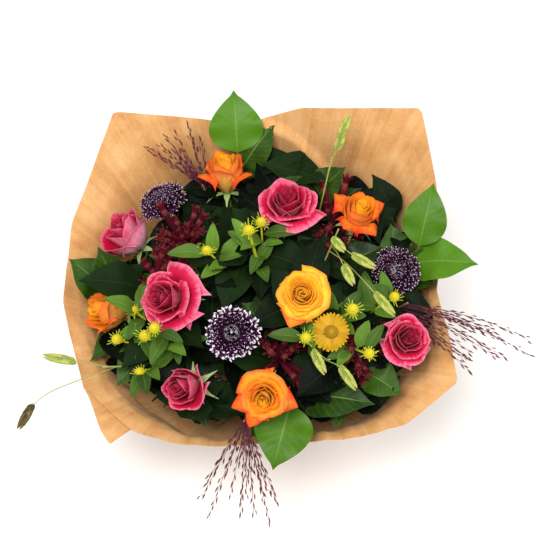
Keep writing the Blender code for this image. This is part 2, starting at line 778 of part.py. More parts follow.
def grow_helenium(lines, stems):
    """Sprays of buds and lance-shaped leaves, and on one of them the open flower."""
    rule = random.Random(7)
    for name, (_, others) in HELENIUM.items():
        node = "helenium_" + name
        line = lines[node]
        top_bud = bud(line[-1] + UP * 2 * MM, (UP + line[-1]).normalized(), 10 * MM)
        pieces = stems[node] + claim(node, [top_bud])
        shoots = [line]
        for k, place in enumerate(others):
            points, side_stem = shoot(line, 0.70 + 0.03 * k, spot(place), 1.3 * MM)
            shoots.append(points)
            side_bud = bud(points[-1] + UP * MM, (UP * 0.5 + points[-1]).normalized(), 9 * MM)
            pieces += claim(node, [side_stem, side_bud])
        if name == "right":
            middle, bearing, lean = HELENIUM_FLOWER
            axis = facing(bearing, lean)
            points, side_stem = shoot(line, 0.72, spot(middle) - axis * 4 * MM, 1.6 * MM)
            pieces += claim(node, [side_stem])
            helenium_flower("helenium_flower", points[-1] + axis * 0.6 * MM, axis)
        for points in shoots:
            for j in range(2 if points is line else 1):
                root, _ = along(points, 0.92 - 0.04 * j if points is line else 0.72)
                out = facing(rule.uniform(0, 360), 62) * rule.uniform(26, 36) * MM
                pieces += grow_clear(
                    node, out, lambda way, extra: [leaf(root, way, HELENIUM_LEAF, lance, 1, 3, extra, wave=0)]
                )
        fuse(node, pieces, "helenium_green")


def grow_paws(lines, stems):
    """A fan of furry, clawed flowers at the end of each kangaroo paw stem."""
    rule = random.Random(3)
    for name, (_, count) in PAWS.items():
        node = "kangaroo_paw_" + name
        line = lines[node]
        pieces = stems[node]
        for k in range(count):
            root, _ = along(line, 1 - 0.03 * k)
            out = facing(360 * k / count + rule.uniform(-15, 15), rule.uniform(22, 62))
            out *= rule.uniform(26, 34) * MM
            arch = rule.uniform(-0.3, 0.3)
            pieces += grow_clear(node, out, lambda way, extra: [paw_flower(root, way, arch, extra)], False)
        fuse(node, pieces, "paw_burgundy")


def grow_grasses(lines, stems):
    """A plume of beaded strands at the end of each fountain grass stem."""
    rule = random.Random(11)
    for name, (_, heading, length, fan, count, sag) in GRASSES.items():
        node = "fountain_grass_" + name
        line = lines[node]
        pieces = stems[node]
        forward = Vector(heading).normalized()
        side = forward.cross(UP).normalized()
        lift = side.cross(forward)
        for k in range(count):
            root, _ = along(line, 1 - 0.012 * k)
            a = math.radians(fan * (2 * k / (count - 1) - 1))
            b = math.radians(rule.uniform(-0.3, 0.3) * fan)
            out = (forward + side * math.tan(a) + lift * math.tan(b)).normalized()
            out *= length * rule.uniform(0.6, 1) * MM
            pieces += grow_clear(node, out, lambda way, extra: [grass_strand(root, way, sag, extra)], False)
        fuse(node, pieces, "grass_purple")


def grow_oats(lines, stems):
    """Flat spikelets, each on a thread of a stalk from the sea oats' stem."""
    for name, (_, spikelets) in OATS.items():
        node = "sea_oats_" + name
        line = lines[node]
        pieces = stems[node]
        for k, (root, tip) in enumerate(spikelets):
            root, tip = spot(root), spot(tip)
            start, way = along(line, 0.98 - 0.02 * k)
            reach = (root - start).length
            inside = root + (tip - root) * 0.1
            leave = (inside - start) * 0.9 + way * reach * 0.3
            points = hermite(start, leave, inside, (tip - root).normalized() * reach * 0.6, 3)
            pieces += claim(node, [tube(points, [0.8 * MM] * 4, 3), spikelet(root, tip)])
        fuse(node, pieces, "oats_green")


def grow_salal(lines, stems):
    """Broad leaves up each salal stem."""
    for name, (_, leaves) in SALAL.items():
        node = "salal_" + name
        line = lines[node]
        pieces = stems[node]
        for k, (tip, width) in enumerate(leaves):
            root, _ = along(line, 0.992 - 0.05 * k)
            pieces += grow_clear(
                node,
                spot(tip) - root,
                lambda way, extra: [leaf(root, way, width * MM, ovate, 2, 4, extra)],
            )
        fuse(node, pieces, "salal_green")


# --- the wrap and the tie ---


def read_ring(ring, bearing):
    """(reach, height) of a ring of points at a bearing, eased between its neighbours."""
    spots = sorted(ring)
    spots = [(spots[-1][0] - 360, *spots[-1][1:]), *spots, (spots[0][0] + 360, *spots[0][1:])]
    bearing %= 360
    for (a, *low), (b, *high) in zip(spots, spots[1:]):
        if a <= bearing <= b:
            share = (bearing - a) / (b - a)
            share = 0.5 * share + 0.5 * smooth(share)
            return [(x + (y - x) * share) * MM for x, y in zip(low, high)]


def wrap_point(u, v, collar):
    """The paper at u along the sheet, from -1 to 1, and v from 0 at the skirt's hem to 1 at the rim."""
    turn = SHEET_END - (360 + SHEET_OVERLAP) * (u + 1) / 2
    layer = PAPER_LAP * (1 - u) / 2
    rim_reach, rim_height = read_ring(RIM, turn)
    belly_reach, belly_height = read_ring(BELLY, turn)
    if v < 0.25:
        share = v / 0.25
        reach = collar + 26 * MM * (1 - share) ** 1.3
        height = TIE_HEIGHT - WAIST - (SKIRT - WAIST) * (1 - share)
    elif v < 0.375:
        reach = collar
        height = TIE_HEIGHT + WAIST * (16 * v - 5)
    elif v < 0.625:
        share = (v - 0.375) / 0.25
        reach = collar + (belly_reach - collar) * share**0.9
        height = TIE_HEIGHT + WAIST + (belly_height - TIE_HEIGHT - WAIST) * share
    else:
        share = (v - 0.625) / 0.375
        reach = belly_reach + (rim_reach - belly_reach) * (0.55 * share + 0.45 * share**2)
        height = belly_height + (rim_height - belly_height) * (1.15 * share - 0.15 * share**2)
    a = math.radians(turn)
    reach += LAP_SPREAD * layer
    height -= 0.65 * layer * smooth((v - 0.375) / 0.12)
    corner = smooth(1 - (u + 1) / 0.09) * smooth((v - 0.6) / 0.4)
    return Vector((reach * math.cos(a), reach * math.sin(a), height)) + spot(SHEET_CORNER) * corner


def build_wrap(bundle):
    """The sheet round the bundle, which is that wide in radius, and the cord wound over its pinch."""
    collar = bundle
    sheet = blade(30, 8, lambda u, v: wrap_point(u, v, collar), PAPER)
    claim("kraft_wrap", [fuse("kraft_wrap", [sheet], "kraft_paper")])
    radius = (collar + LAP_SPREAD * PAPER_LAP + PAPER / 2 + 0.2 * MM + SEAT_GAP + TIE_CORD) / math.cos(math.pi / TIE_FACETS)
    steps = TIE_FACETS * TIE_TURNS
    points = []
    for i in range(steps + 1):
        a = math.tau * i / TIE_FACETS
        climb = (i / steps - 0.5) * TIE_TURNS * 2 * TIE_CORD * 0.9
        points.append(Vector((radius * math.cos(a), radius * math.sin(a), TIE_HEIGHT + climb)))
    fuse("jute_tie", claim("jute_tie", [tube(points, [TIE_CORD] * len(points), 4)]), "jute")


def set_over_origin():
    """Moves everything so that the middle of the bouquet's own box stands over the origin."""
    places = [vert.co for item in bpy.data.objects for vert in item.data.vertices]
    low = Vector(map(min, zip(*places)))
    high = Vector(map(max, zip(*places)))
    middle = Vector(((low.x + high.x) / 2, (low.y + high.y) / 2, low.z))
    for item in bpy.data.objects:
        item.data.transform(Matrix.Translation(-middle))


def main():
    clear_scene()
    rows = stem_table()
    waist = packed_waist(rows)
    lines = routes(rows, waist)
    bundle = max(math.hypot(x, y) + STEM_WIDTH[row[1]] / 2 * MM for row, (x, y) in zip(rows, waist))
    build_wrap(bundle)
    stems = raise_stems(rows, lines)
    build_blooms(lines, stems)
    grow_oats(lines, stems)
    grow_helenium(lines, stems)
    grow_paws(lines, stems)
    grow_grasses(lines, stems)
    grow_salal(lines, stems)
    finish_blooms(lines, stems)
    set_over_origin()


main()
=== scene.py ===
"""The finished surfaces of a hand-tied mixed bouquet in a kraft paper wrap.

Metres, +Z up. Each piece follows the layout that its solid has, with the stems, petals, leaves and florets
worked out finer, and stands for that solid. The tie is on the Z axis until finish_piece moves each piece to
where the solids stand. A random draw has its own seed or name for each piece, so every run is the same.
"""

import math
import random

import bpy
import numpy as np
from mathutils import Matrix, Vector, noise


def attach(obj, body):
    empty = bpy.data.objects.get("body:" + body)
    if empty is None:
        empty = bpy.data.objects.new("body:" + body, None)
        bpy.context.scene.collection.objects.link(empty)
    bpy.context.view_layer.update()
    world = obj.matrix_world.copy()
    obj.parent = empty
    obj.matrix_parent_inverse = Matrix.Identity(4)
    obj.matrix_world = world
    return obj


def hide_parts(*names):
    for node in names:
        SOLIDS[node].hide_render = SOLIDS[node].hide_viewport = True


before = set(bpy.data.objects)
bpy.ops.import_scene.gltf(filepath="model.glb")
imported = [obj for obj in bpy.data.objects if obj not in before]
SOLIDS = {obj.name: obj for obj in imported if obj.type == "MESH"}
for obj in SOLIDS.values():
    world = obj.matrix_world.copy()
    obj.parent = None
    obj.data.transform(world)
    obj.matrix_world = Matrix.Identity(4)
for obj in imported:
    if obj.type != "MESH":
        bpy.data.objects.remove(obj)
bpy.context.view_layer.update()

MM = 0.001
UP = Vector((0, 0, 1))
SIDE_VEINS = 11  # up each side of a leaf
VEIN_LEAN = 2.2  # how far they run forwards to the leaf's edge, in spaces between veins

# --- finishes ---

# Settings of the nodes that are used most
TIMES = {"operation": "MULTIPLY"}
COLOURS = {"out": 2, "data_type": "RGBA"}


def linear(shade):
    """A colour written as sRGB hex, as the linear numbers that a node takes."""
    values = [int(shade[i : i + 2], 16) / 255 for i in (1, 3, 5)]
    return (*[v / 12.92 if v <= 0.04045 else ((v + 0.055) / 1.055) ** 2.4 for v in values], 1.0)


def add(tree, kind, *values, out=0, stops=None, **settings):
    """Adds a node with its settings and links, and returns one of its outputs.

    The values go to its inputs in order, or by number or name where a dict holds them. Each is a number, a
    colour in hex or the output of another node. Stops are the places and colours of a colour ramp.
    """
    node = tree.nodes.new("ShaderNode" + kind)
    for name, value in settings.items():
        setattr(node, name, value)
    named = values[0] if values and isinstance(values[0], dict) else dict(enumerate(values))
    for name, value in named.items():
        socket = node.inputs[name]
        if isinstance(value, bpy.types.NodeSocket):
            tree.links.new(value, socket)
        else:
            socket.default_value = linear(value) if isinstance(value, str) else value
    if stops:
        ramp = node.color_ramp
        while len(ramp.elements) < len(stops):
            ramp.elements.new(0.5)
        for element, (place, value) in zip(ramp.elements, stops):
            element.position = place
            element.color = linear(value)
    return node.outputs[out]


def new_finish(name, **constants):
    """A material with its shader, whose constant numbers stand on its own sockets."""
    material = bpy.data.materials.new(name)
    material.use_nodes = True
    shader = material.node_tree.nodes["Principled BSDF"]
    for socket, value in constants.items():
        shader.inputs[socket.replace("_", " ")].default_value = value
    return material, material.node_tree, shader


def read_marks(tree):
    """The four marks of a piece: across, along, tone and side."""
    mark = tree.nodes.new("ShaderNodeAttribute")
    mark.attribute_name = "marks"
    parts = tree.nodes.new("ShaderNodeSeparateColor")
    tree.links.new(mark.outputs["Color"], parts.inputs["Color"])
    return parts.outputs[0], parts.outputs[1], parts.outputs[2], mark.outputs["Alpha"]


def grain(tree, size, detail=2.0, rough=0.5, stretch=(1, 1, 1)):
    """Noise on the piece's own place, whose lumps are that far across, in metres."""
    spread = add(
        tree, "Mapping", {"Vector": add(tree, "TexCoord", out=3), "Scale": tuple(s / size for s in stretch)}
    )
    return add(tree, "TexNoise", {"Vector": spread, "Scale": 1.0, "Detail": detail, "Roughness": rough})


def streaks(tree, marks, wide, long, detail=2.0):
    """Noise that follows a petal, strand or sheet, with that many lumps across it and along it.

    The tone moves it far enough that no two petals are streaked alike.
    """
    across, along_, tone, _ = marks
    place = add(
        tree, "CombineXYZ", add(tree, "Math", across, wide, **TIMES),
        add(tree, "Math", along_, long, **TIMES), add(tree, "Math", tone, 37.0, **TIMES),
    )
    return add(tree, "TexNoise", {"Vector": place, "Scale": 1.0, "Detail": detail})


def surface(tree, shader, colour, roughness=None, height=None, depth=0.0001, strength=1.0):
    """Sets the shader's colour, and its roughness and bump where these vary."""
    tree.links.new(colour, shader.inputs["Base Color"])
    if roughness is not None:
        tree.links.new(roughness, shader.inputs["Roughness"])
    if height is not None:
        bump = add(tree, "Bump", {"Height": height, "Strength": strength, "Distance": depth})
        tree.links.new(bump, shader.inputs["Normal"])


def petal_finish(name, heart, body, flush, rim, behind_low, behind_high, blush):
    """Fresh rose petal: soft and a little velvety, veined lengthways, and letting some light through.

    The furled middle keeps the heart's colour, the whorls turn from body to flush towards their rims as they
    open, and the outside of a petal is paler at its foot.
    """
    material, tree, shader = new_finish(
        name, Roughness=0.5, IOR=1.4, Specular_IOR_Level=0.18, Sheen_Weight=0.03, Sheen_Roughness=0.4,
        Subsurface_Weight=0.12, Subsurface_Scale=4 * MM,
    )
    shader.inputs["Subsurface Radius"].default_value = (1.0, 0.35, 0.2)
    marks = across, along_, tone, side = read_marks(tree)
    veins = streaks(tree, marks, 9.0, 1.6, 4.0)
    cloud = streaks(tree, marks, 1.3, 1.6)
    height = add(tree, "Math", along_, add(tree, "Math", cloud, 0.9, **TIMES))
    inside = add(tree, "Mix", {0: add(tree, "MapRange", tone, 0.1, 0.9), 6: heart, 7: body}, **COLOURS)
    flushed = add(tree, "MapRange", height, 1.1, 1.6, interpolation_type="SMOOTHSTEP")
    ripe = add(tree, "MapRange", tone, 0.1, 1.0, 0.25 * blush, blush)
    inside = add(tree, "Mix", {0: add(tree, "Math", flushed, ripe, **TIMES), 6: inside, 7: flush}, **COLOURS)
    outside_from = add(tree, "MapRange", height, 0.5, 1.35)
    outside = add(tree, "Mix", {0: outside_from, 6: behind_low, 7: behind_high}, **COLOURS)
    outside = add(tree, "Mix", {0: add(tree, "MapRange", tone, 0.35, 0.85), 6: inside, 7: outside}, **COLOURS)
    colour = add(tree, "Mix", {0: side, 6: outside, 7: inside}, **COLOURS)
    # The rim takes its own colour more where the petal is old, and more of it on a petal that stands out like
    # a wing: a darker red rim on the orange and yellow petals, and on the pink ones a pale rim that is a
    # painted highlight
    reach = add(tree, "Math", add(tree, "Math", across, operation="ABSOLUTE"), along_, operation="MAXIMUM")
    ragged = add(tree, "Math", reach, add(tree, "Math", veins, 0.22, **TIMES))
    edge = add(tree, "Math", add(tree, "MapRange", ragged, 0.97, 1.12), tone, **TIMES)
    winged = add(tree, "MapRange", tone, 1.05, 1.2)
    wing = add(tree, "Math", winged, add(tree, "MapRange", height, 0.95, 1.45), **TIMES)
    share = add(tree, "Math", add(tree, "Math", edge, 0.8, **TIMES), wing, operation="MAXIMUM")
    colour = add(tree, "Mix", {0: share, 6: colour, 7: rim}, **COLOURS)
    streak = add(tree, "MapRange", veins, 0.3, 0.7, 0.86, 1.1)
    colour = add(tree, "VectorMath", {0: colour, 3: streak}, operation="SCALE")
    surface(tree, shader, colour, None, veins, 0.6 * MM, 0.5)
    return material


def leaf_finish(name, upper, deep, under, vein, roughness, shine=0.3, drawn=0.45):
    """Living leaf: waxy above and matt below, with a pale midrib and side veins that part from it forwards.

    Its tone turns it from deep to upper, with blotches 12 mm across, and its veins are drawn that strongly.
    """
    material, tree, shader = new_finish(
        name, IOR=1.45, Specular_IOR_Level=shine, Coat_Weight=0.12 * shine, Coat_Roughness=0.4
    )
    across, along_, tone, side = read_marks(tree)
    blotch = grain(tree, 12 * MM, 3.0)
    fresh = add(tree, "MapRange", add(tree, "Math", tone, add(tree, "Math", blotch, 0.4, **TIMES)), 0.2, 1.2)
    colour = add(tree, "Mix", {0: fresh, 6: deep, 7: upper}, **COLOURS)
    away = add(tree, "Math", across, operation="ABSOLUTE")
    row = add(tree, "Math", along_, SIDE_VEINS, **TIMES)
    forwards = add(tree, "Math", row, add(tree, "Math", away, VEIN_LEAN, **TIMES), operation="SUBTRACT")
    bent = add(tree, "Math", forwards, add(tree, "Math", grain(tree, 6 * MM, 1.0), 0.25, **TIMES))
    wave = add(tree, "Math", add(tree, "Math", bent, math.tau, **TIMES), operation="COSINE")
    branches = add(tree, "MapRange", wave, 0.9, 1.0, 0.0, 0.3)
    midrib = add(tree, "MapRange", away, 0.05, 0.015)
    lines = add(tree, "Math", branches, midrib, operation="MAXIMUM")
    colour = add(tree, "Mix", {0: add(tree, "Math", lines, drawn, **TIMES), 6: colour, 7: vein}, **COLOURS)
    colour = add(tree, "Mix", {0: add(tree, "Math", side, 0.75, **TIMES), 6: colour, 7: under}, **COLOURS)
    # The net between the veins, 1.4 mm a cell
    cells = {"Vector": add(tree, "TexCoord", out=3), "Scale": 1 / (1.4 * MM)}
    net = add(tree, "TexVoronoi", cells, feature="DISTANCE_TO_EDGE")
    relief = add(tree, "Math", add(tree, "Math", lines, -0.7, **TIMES), add(tree, "Math", net, 0.35, **TIMES))
    dulled = add(tree, "Math", side, add(tree, "Math", blotch, 0.3, **TIMES))
    rough = add(tree, "MapRange", dulled, 0.0, 1.0, roughness, roughness + 0.3)
    surface(tree, shader, colour, rough, relief, 0.4 * MM, 0.6)
    return material


def stem_finish(name, young, old, cut):
    """Green stem: ribbed every 1.2 mm, a little glossy, darker with age, and pale where it is cut."""
    material, tree, shader = new_finish(name, IOR=1.45)
    _, along_, _, side = read_marks(tree)
    mottled = add(tree, "Math", along_, add(tree, "Math", grain(tree, 10 * MM), 0.5, **TIMES))
    colour = add(tree, "Mix", {0: add(tree, "MapRange", mottled, 0.2, 1.2), 6: old, 7: young}, **COLOURS)
    colour = add(tree, "Mix", {0: side, 6: colour, 7: cut}, **COLOURS)
    ribs = grain(tree, 1.2 * MM, 2.0, stretch=(1, 1, 0.06))
    rough = add(tree, "MapRange", ribs, 0.0, 1.0, 0.42, 0.62)
    surface(tree, shader, colour, rough, ribs, 0.3 * MM, 0.5)
    return material


def toned_finish(name, low, high, tip, tip_from, fuzz, size, roughness, shine=0.3):
    """Florets, buds, bracts and spikelets, each in its own tone, mottled at that size.

    The colour of the tip begins that far along, and the fuzz is how deep the bump looks.
    """
    material, tree, shader = new_finish(name, Roughness=roughness, IOR=1.4, Specular_IOR_Level=shine)
    _, along_, tone, _ = read_marks(tree)
    mottle = grain(tree, size, 3.0)
    share = add(tree, "Math", add(tree, "Math", tone, 0.75, **TIMES), add(tree, "Math", mottle, 0.3, **TIMES))
    colour = add(tree, "Mix", {0: share, 6: low, 7: high}, **COLOURS)
    height = add(tree, "Math", along_, add(tree, "Math", mottle, 0.2, **TIMES))
    ends = add(tree, "MapRange", height, tip_from, tip_from + 0.25)
    colour = add(tree, "Mix", {0: ends, 6: colour, 7: tip}, **COLOURS)
    surface(tree, shader, colour, None, mottle, 0.5 * MM, fuzz)
    return material


def kraft_finish():
    """Brown kraft paper, machine glazed: unbleached, ribbed about every 5 mm, with fibres drawn out to 3 mm.

    It is dull with a faint gloss along the ribs, and cloudy where the pulp lies thick.
    """
    material, tree, shader = new_finish(
        "kraft_paper_machine_glazed", IOR=1.4, Sheen_Weight=0.1, Sheen_Roughness=0.6
    )
    marks = read_marks(tree)
    ribs = streaks(tree, marks, 150.0, 2.0, 3.0)
    fibre = grain(tree, 1.6 * MM, 4.0, 0.65, stretch=(1, 1, 0.5))
    cloud = grain(tree, 30 * MM, 4.0)
    speck = grain(tree, 1.1 * MM, 2.0, 0.7)
    pulp = add(tree, "Math", add(tree, "Math", fibre, 0.25, **TIMES), add(tree, "Math", cloud, 0.45, **TIMES))
    share = add(tree, "Math", pulp, add(tree, "Math", ribs, 0.25, **TIMES))
    colour = add(tree, "ValToRGB", share, stops=[(0.33, "#B87C44"), (0.47, "#D39C5E"), (0.62, "#E3B47C")])
    dark = add(tree, "MapRange", speck, 0.36, 0.28, 0.0, 0.35)
    colour = add(tree, "Mix", {0: dark, 6: colour, 7: "#A8713F"}, **COLOURS)
    height = add(tree, "Math", add(tree, "Math", fibre, 0.5, **TIMES), ribs)
    surface(tree, shader, colour, add(tree, "MapRange", ribs, 0.3, 0.7, 0.6, 0.8), height, 0.6 * MM, 0.3)
    return material


def jute_finish():
    """Jute twine: three twisted strands of coarse, dull, straw-coloured fibre, with hairs along them."""
    material, tree, shader = new_finish("jute_twine_twisted", Roughness=0.9, IOR=1.4, Sheen_Weight=0.3)
    hair = streaks(tree, read_marks(tree), 2.5, 900.0, 4.0)
    colour = add(tree, "ValToRGB", hair, stops=[(0.3, "#8E6A3F"), (0.5, "#B8925C"), (0.72, "#DDBF8C")])
    surface(tree, shader, colour, None, hair, 0.6 * MM, 0.8)
    return material


def floor_finish():
    """Matt white studio sweep, which is to give no colour of its own."""
    material, tree, shader = new_finish("studio_sweep_white_matt", Roughness=0.9)
    surface(tree, shader, add(tree, "ValToRGB", grain(tree, 0.4), stops=[(0.0, "#F9F9F8"), (1.0, "#FDFDFC")]))
    return material


# Rose petals: heart, body, flush, rim, and the outside low and high
PETALS = {
    # Golden inside and coral outside, with red-orange rims, as a bicoloured spray rose has
    "orange": petal_finish(
        "rose_petal_orange_velvet", "#FFBE1E", "#FDA022", "#F68436", "#DC3616", "#FFC552", "#F98E48", 0.9
    ),
    # Cherry in the folds and rosier where the light comes through, and almost white at the foot behind. The
    # pale pink of its rims is a painted highlight
    "pink": petal_finish(
        "rose_petal_pink_velvet", "#A80A32", "#C4143F", "#DA3560", "#F28AA6", "#FFC8D6", "#F06A90", 0.8
    ),
    # Butter yellow that turns to coral at the waved rims
    "yellow": petal_finish(
        "rose_petal_yellow_velvet", "#FFBE20", "#FFC42C", "#FDB03A", "#F0682A", "#FED060", "#F9943E", 0.7
    ),
}
# Rose and scabious stems: fresh green with fine ribs that catch the light in lines
GREEN_STEM = stem_finish("stem_green_ribbed", "#587A2C", "#47662A", "#C9D69A")
# Salal wood: brownish green, so that the leaves stand off it
SALAL_TWIG = stem_finish("salal_twig_brown_green", "#33481C", "#3A3C22", "#C2C794")
# Sepals and rose leaves: pale grey-green and downy, so dull
SEPAL_GREEN = leaf_finish("rose_sepal_downy", "#9DBB5E", "#6C8E40", "#A5B97C", "#BACB88", 0.55)
# Scabious florets: almost black-purple tubes whose lobes end in lilac white, which gives the lace
SCABIOUS_PURPLE = toned_finish(
    "scabious_floret_dark_purple", "#12050D", "#4A1840", "#F6E8F8", 0.82, 0.4, 2 * MM, 0.6, 0.12
)
# Helenium bracts and stems: fresh yellow-green, lighter at the ends
BUD_GREEN = toned_finish("helenium_bract_fresh_green", "#557D1C", "#9DAF26", "#CFCB34", 0.7, 0.3, 2 * MM, 0.5)
# Helenium buds: a grainy dome of shut florets, greenish yellow
BUD_YELLOW = toned_finish("helenium_bud_florets", "#9AA51C", "#D2B914", "#DCC92C", 0.7, 0.4, 1 * MM, 0.6)
# Helenium leaves: thin and soft, from fresh to shaded green
HELENIUM_GREEN = leaf_finish("helenium_leaf_soft", "#668C28", "#294413", "#65803C", "#86A44E", 0.5, 0.2)
# Helenium rays: ochre at their foot and golden at their notched ends
HELENIUM_YELLOW = toned_finish("helenium_ray_golden", "#94700A", "#CC9A0C", "#DDB31A", 0.9, 0.4, 2 * MM, 0.5)
# Helenium disc: mealy with pollen, duller than the rays
HELENIUM_GOLD = toned_finish("helenium_disc_pollen", "#765407", "#A47B0D", "#B88C1C", 0.8, 0.5, 1 * MM, 0.8)
# Kangaroo paws: wine-dark wool whose nap gives the tubes a soft edge
PAW_VELVET = toned_finish(
    "kangaroo_paw_woolly_burgundy", "#2A0510", "#74142A", "#9A4A40", 0.9, 0.8, 0.8 * MM, 0.8, 0.15
)
# Fountain grass: purple-brown papery spikelets with paler ends
GRASS_PURPLE = toned_finish(
    "fountain_grass_spikelet_purple", "#34101C", "#6E2C3F", "#A06A66", 0.75, 0.5, 1 * MM, 0.7
)
# Sea oats: dry, pale green glumes
OATS_GREEN = toned_finish(
    "sea_oat_glume_papery", "#7C8C38", "#B3B858", "#B5A768", 0.75, 0.5, 1.5 * MM, 0.6
)
# A sea oat that has dried: brown, with its green gone
OATS_BROWN = toned_finish("sea_oat_glume_dry", "#3E3A1C", "#6E5F34", "#8A7448", 0.75, 0.5, 1.5 * MM, 0.7)
# Salal leaves: leathery and waxed, with a soft highlight, bright when they are young
SALAL_GREEN = leaf_finish("salal_leaf_leathery", "#4C7A14", "#0B1808", "#4F6E26", "#7B9C42", 0.36, 0.2)
# Salal leaves low in the bunch: a darker copy of the salal finish, nearly black-green and dull, which is
# painted shade, so that the blooms stand out
SALAL_PAINTED_SHADE = leaf_finish("salal_leaf_painted_shade", "#233C17", "#030603", "#18270F", "#2C471B", 0.5, 0.08, 0.3)
KRAFT = kraft_finish()
JUTE = jute_finish()


# --- the layout, as the solids have it ---

TIE_HEIGHT = 88 * MM  # the binding point above the cut ends
BUNDLE_RADIUS = 15 * MM  # the stems' bundle at the tie, before packing
FOOT_RADIUS = 40 * MM  # how far the outer stems splay at the floor
STEM_GAP = 0.3 * MM  # between stems where they are bound
SLANT = 1.03  # how much wider a slanting stem is, cut level, than cut across
STRAIGHT = 30 * MM  # above the tie, before the stems start to bend out to their heads
OUTERMOST = 200 * MM  # how far from the axis the outermost heads are
PAPER = 0.9 * MM
SEAT_GAP = 0.3 * MM  # between a flower head and the stem that carries it
SKIRT = 44 * MM  # how far the paper hangs below the tie
WAIST = 4 * MM  # half the height over which the tie pinches the paper
HANDLE_LEAN = (0.12, -0.10, 0)  # slope of the bundle at the tie, which brings the feet under the heavier side
PAPER_LAP = 2.4 * MM  # the sheet's outer end lies this far outside its inner end
LAP_SPREAD = 0.75  # share of that which is sideways; the rest lies below
TIE_CORD = 1.3 * MM  # radius
TIE_TURNS = 2
ROSE_SEPAL = 21 * MM
SCABIOUS_SEPAL = 15 * MM
ROSE_LEAF = 48 * MM
HELENIUM_LEAF = 13 * MM  # wide
SPIKELET = 8.5 * MM  # wide
SPLAY = math.sqrt((FOOT_RADIUS / BUNDLE_RADIUS) ** 2 - 1) / TIE_HEIGHT  # turn per metre of the spiral
# Roses: (x, y, z) of the bloom's middle in mm, the bearing and lean of its face in degrees, its radius and
# height in mm, how open it is from 0 to 1, and its colour.
ROSES = {
    "back": ((-52, 146, 291), 95, 33, 20, 44, 0.25, "orange"),
    "back_pink": ((14, 89, 326), 85, 8, 27, 38, 0.75, "pink"),
    "back_right": ((86, 88, 311), 30, 20, 20, 36, 0.45, "orange"),
    "left_pink": ((-156, 80, 273), 160, 42, 27, 44, 0.35, "pink"),
    "left": ((-172, -4, 267), 188, 60, 22, 42, 0.30, "orange"),
    "centre_left": ((-104, -13, 319), 215, 30, 28, 38, 0.60, "pink"),
    "centre": ((27, -19, 345), 270, 20, 24, 30, 1.00, "yellow"),
    "front_left": ((-86, -98, 297), 230, 38, 23, 38, 0.40, "pink"),
    "front": ((-10, -112, 309), 264, 31, 22, 34, 0.85, "orange"),
    "right_pink": ((131, -49, 297), 300, 20, 21, 36, 0.50, "pink"),
}
# Scabious: middle of the head, bearing and lean of its face, radius in mm.
SCABIOUS = {
    "back_left": ((-121, 117, 291), 144, 36, 25),
    "right": ((124, 25, 309), 300, 14, 24),
    "front": ((-42, -56, 335), 262, 24, 25),
}
# Helenium: the top bud, then the other buds of the spray, in mm.
HELENIUM = {
    "left": ((-128, -51, 313), [(-118, -48, 326), (-158, -46, 293), (-142, -18, 302), (-134, -80, 289)]),
    "back": ((-26, 50, 343), [(-68, 36, 327), (-14, 66, 331)]),
    "right": ((76, -34, 339), [(30, -62, 335), (118, -14, 325), (92, -72, 319)]),
}
HELENIUM_FLOWER = ((55, -54, 333), 287, 18)
# Kangaroo paws: where the fan of flowers starts, and how many there are.
PAWS = {
    "back_left": ((-98, 74, 279), 5),
    "left": ((-122, 30, 279), 5),
    "front": ((4, -62, 285), 6),
    "right": ((84, -50, 273), 5),
    "back_right": ((64, 96, 283), 4),
}
# Fountain grass: where the plume parts, its direction, how far it reaches, its fan in degrees, how many
# strands it has and how far they droop for their length, in mm.
GRASSES = {
    "back": ((-76, 136, 279), (-40, 52, 62), 100, 22, 6, 0.15),
    "right": ((132, -10, 301), (110, -40, 10), 142, 12, 7, 0.40),
    "front": ((-30, -126, 279), (-4, -62, -8), 104, 27, 7, 0.25),
    "inner": ((-44, -84, 279), (-8, -34, 60), 34, 44, 5, 0.1),
}
# Sea oats: the stem's top, then each spikelet from its stalk end to its tip, in mm.
OATS = {
    "left": (
        (-168, -74, 291),
        [((-196, -72, 299), (-230, -64, 295)), ((-242, -104, 267), (-258, -124, 249))],
    ),
    "back": ((58, 136, 335), [((66, 152, 353), (76, 172, 365)), ((63, 143, 343), (70, 158, 355))]),
    "centre": (
        (62, 44, 355),
        [
            ((56, 34, 363), (68, 18, 365)),
            ((74, 16, 363), (98, 4, 357)),
            ((66, 4, 365), (76, -16, 361)),
            ((96, -20, 353), (116, -40, 343)),
        ],
    ),
    "front": ((52, -84, 335), [((36, -76, 343), (48, -98, 335)), ((62, -90, 335), (78, -110, 325))]),
}
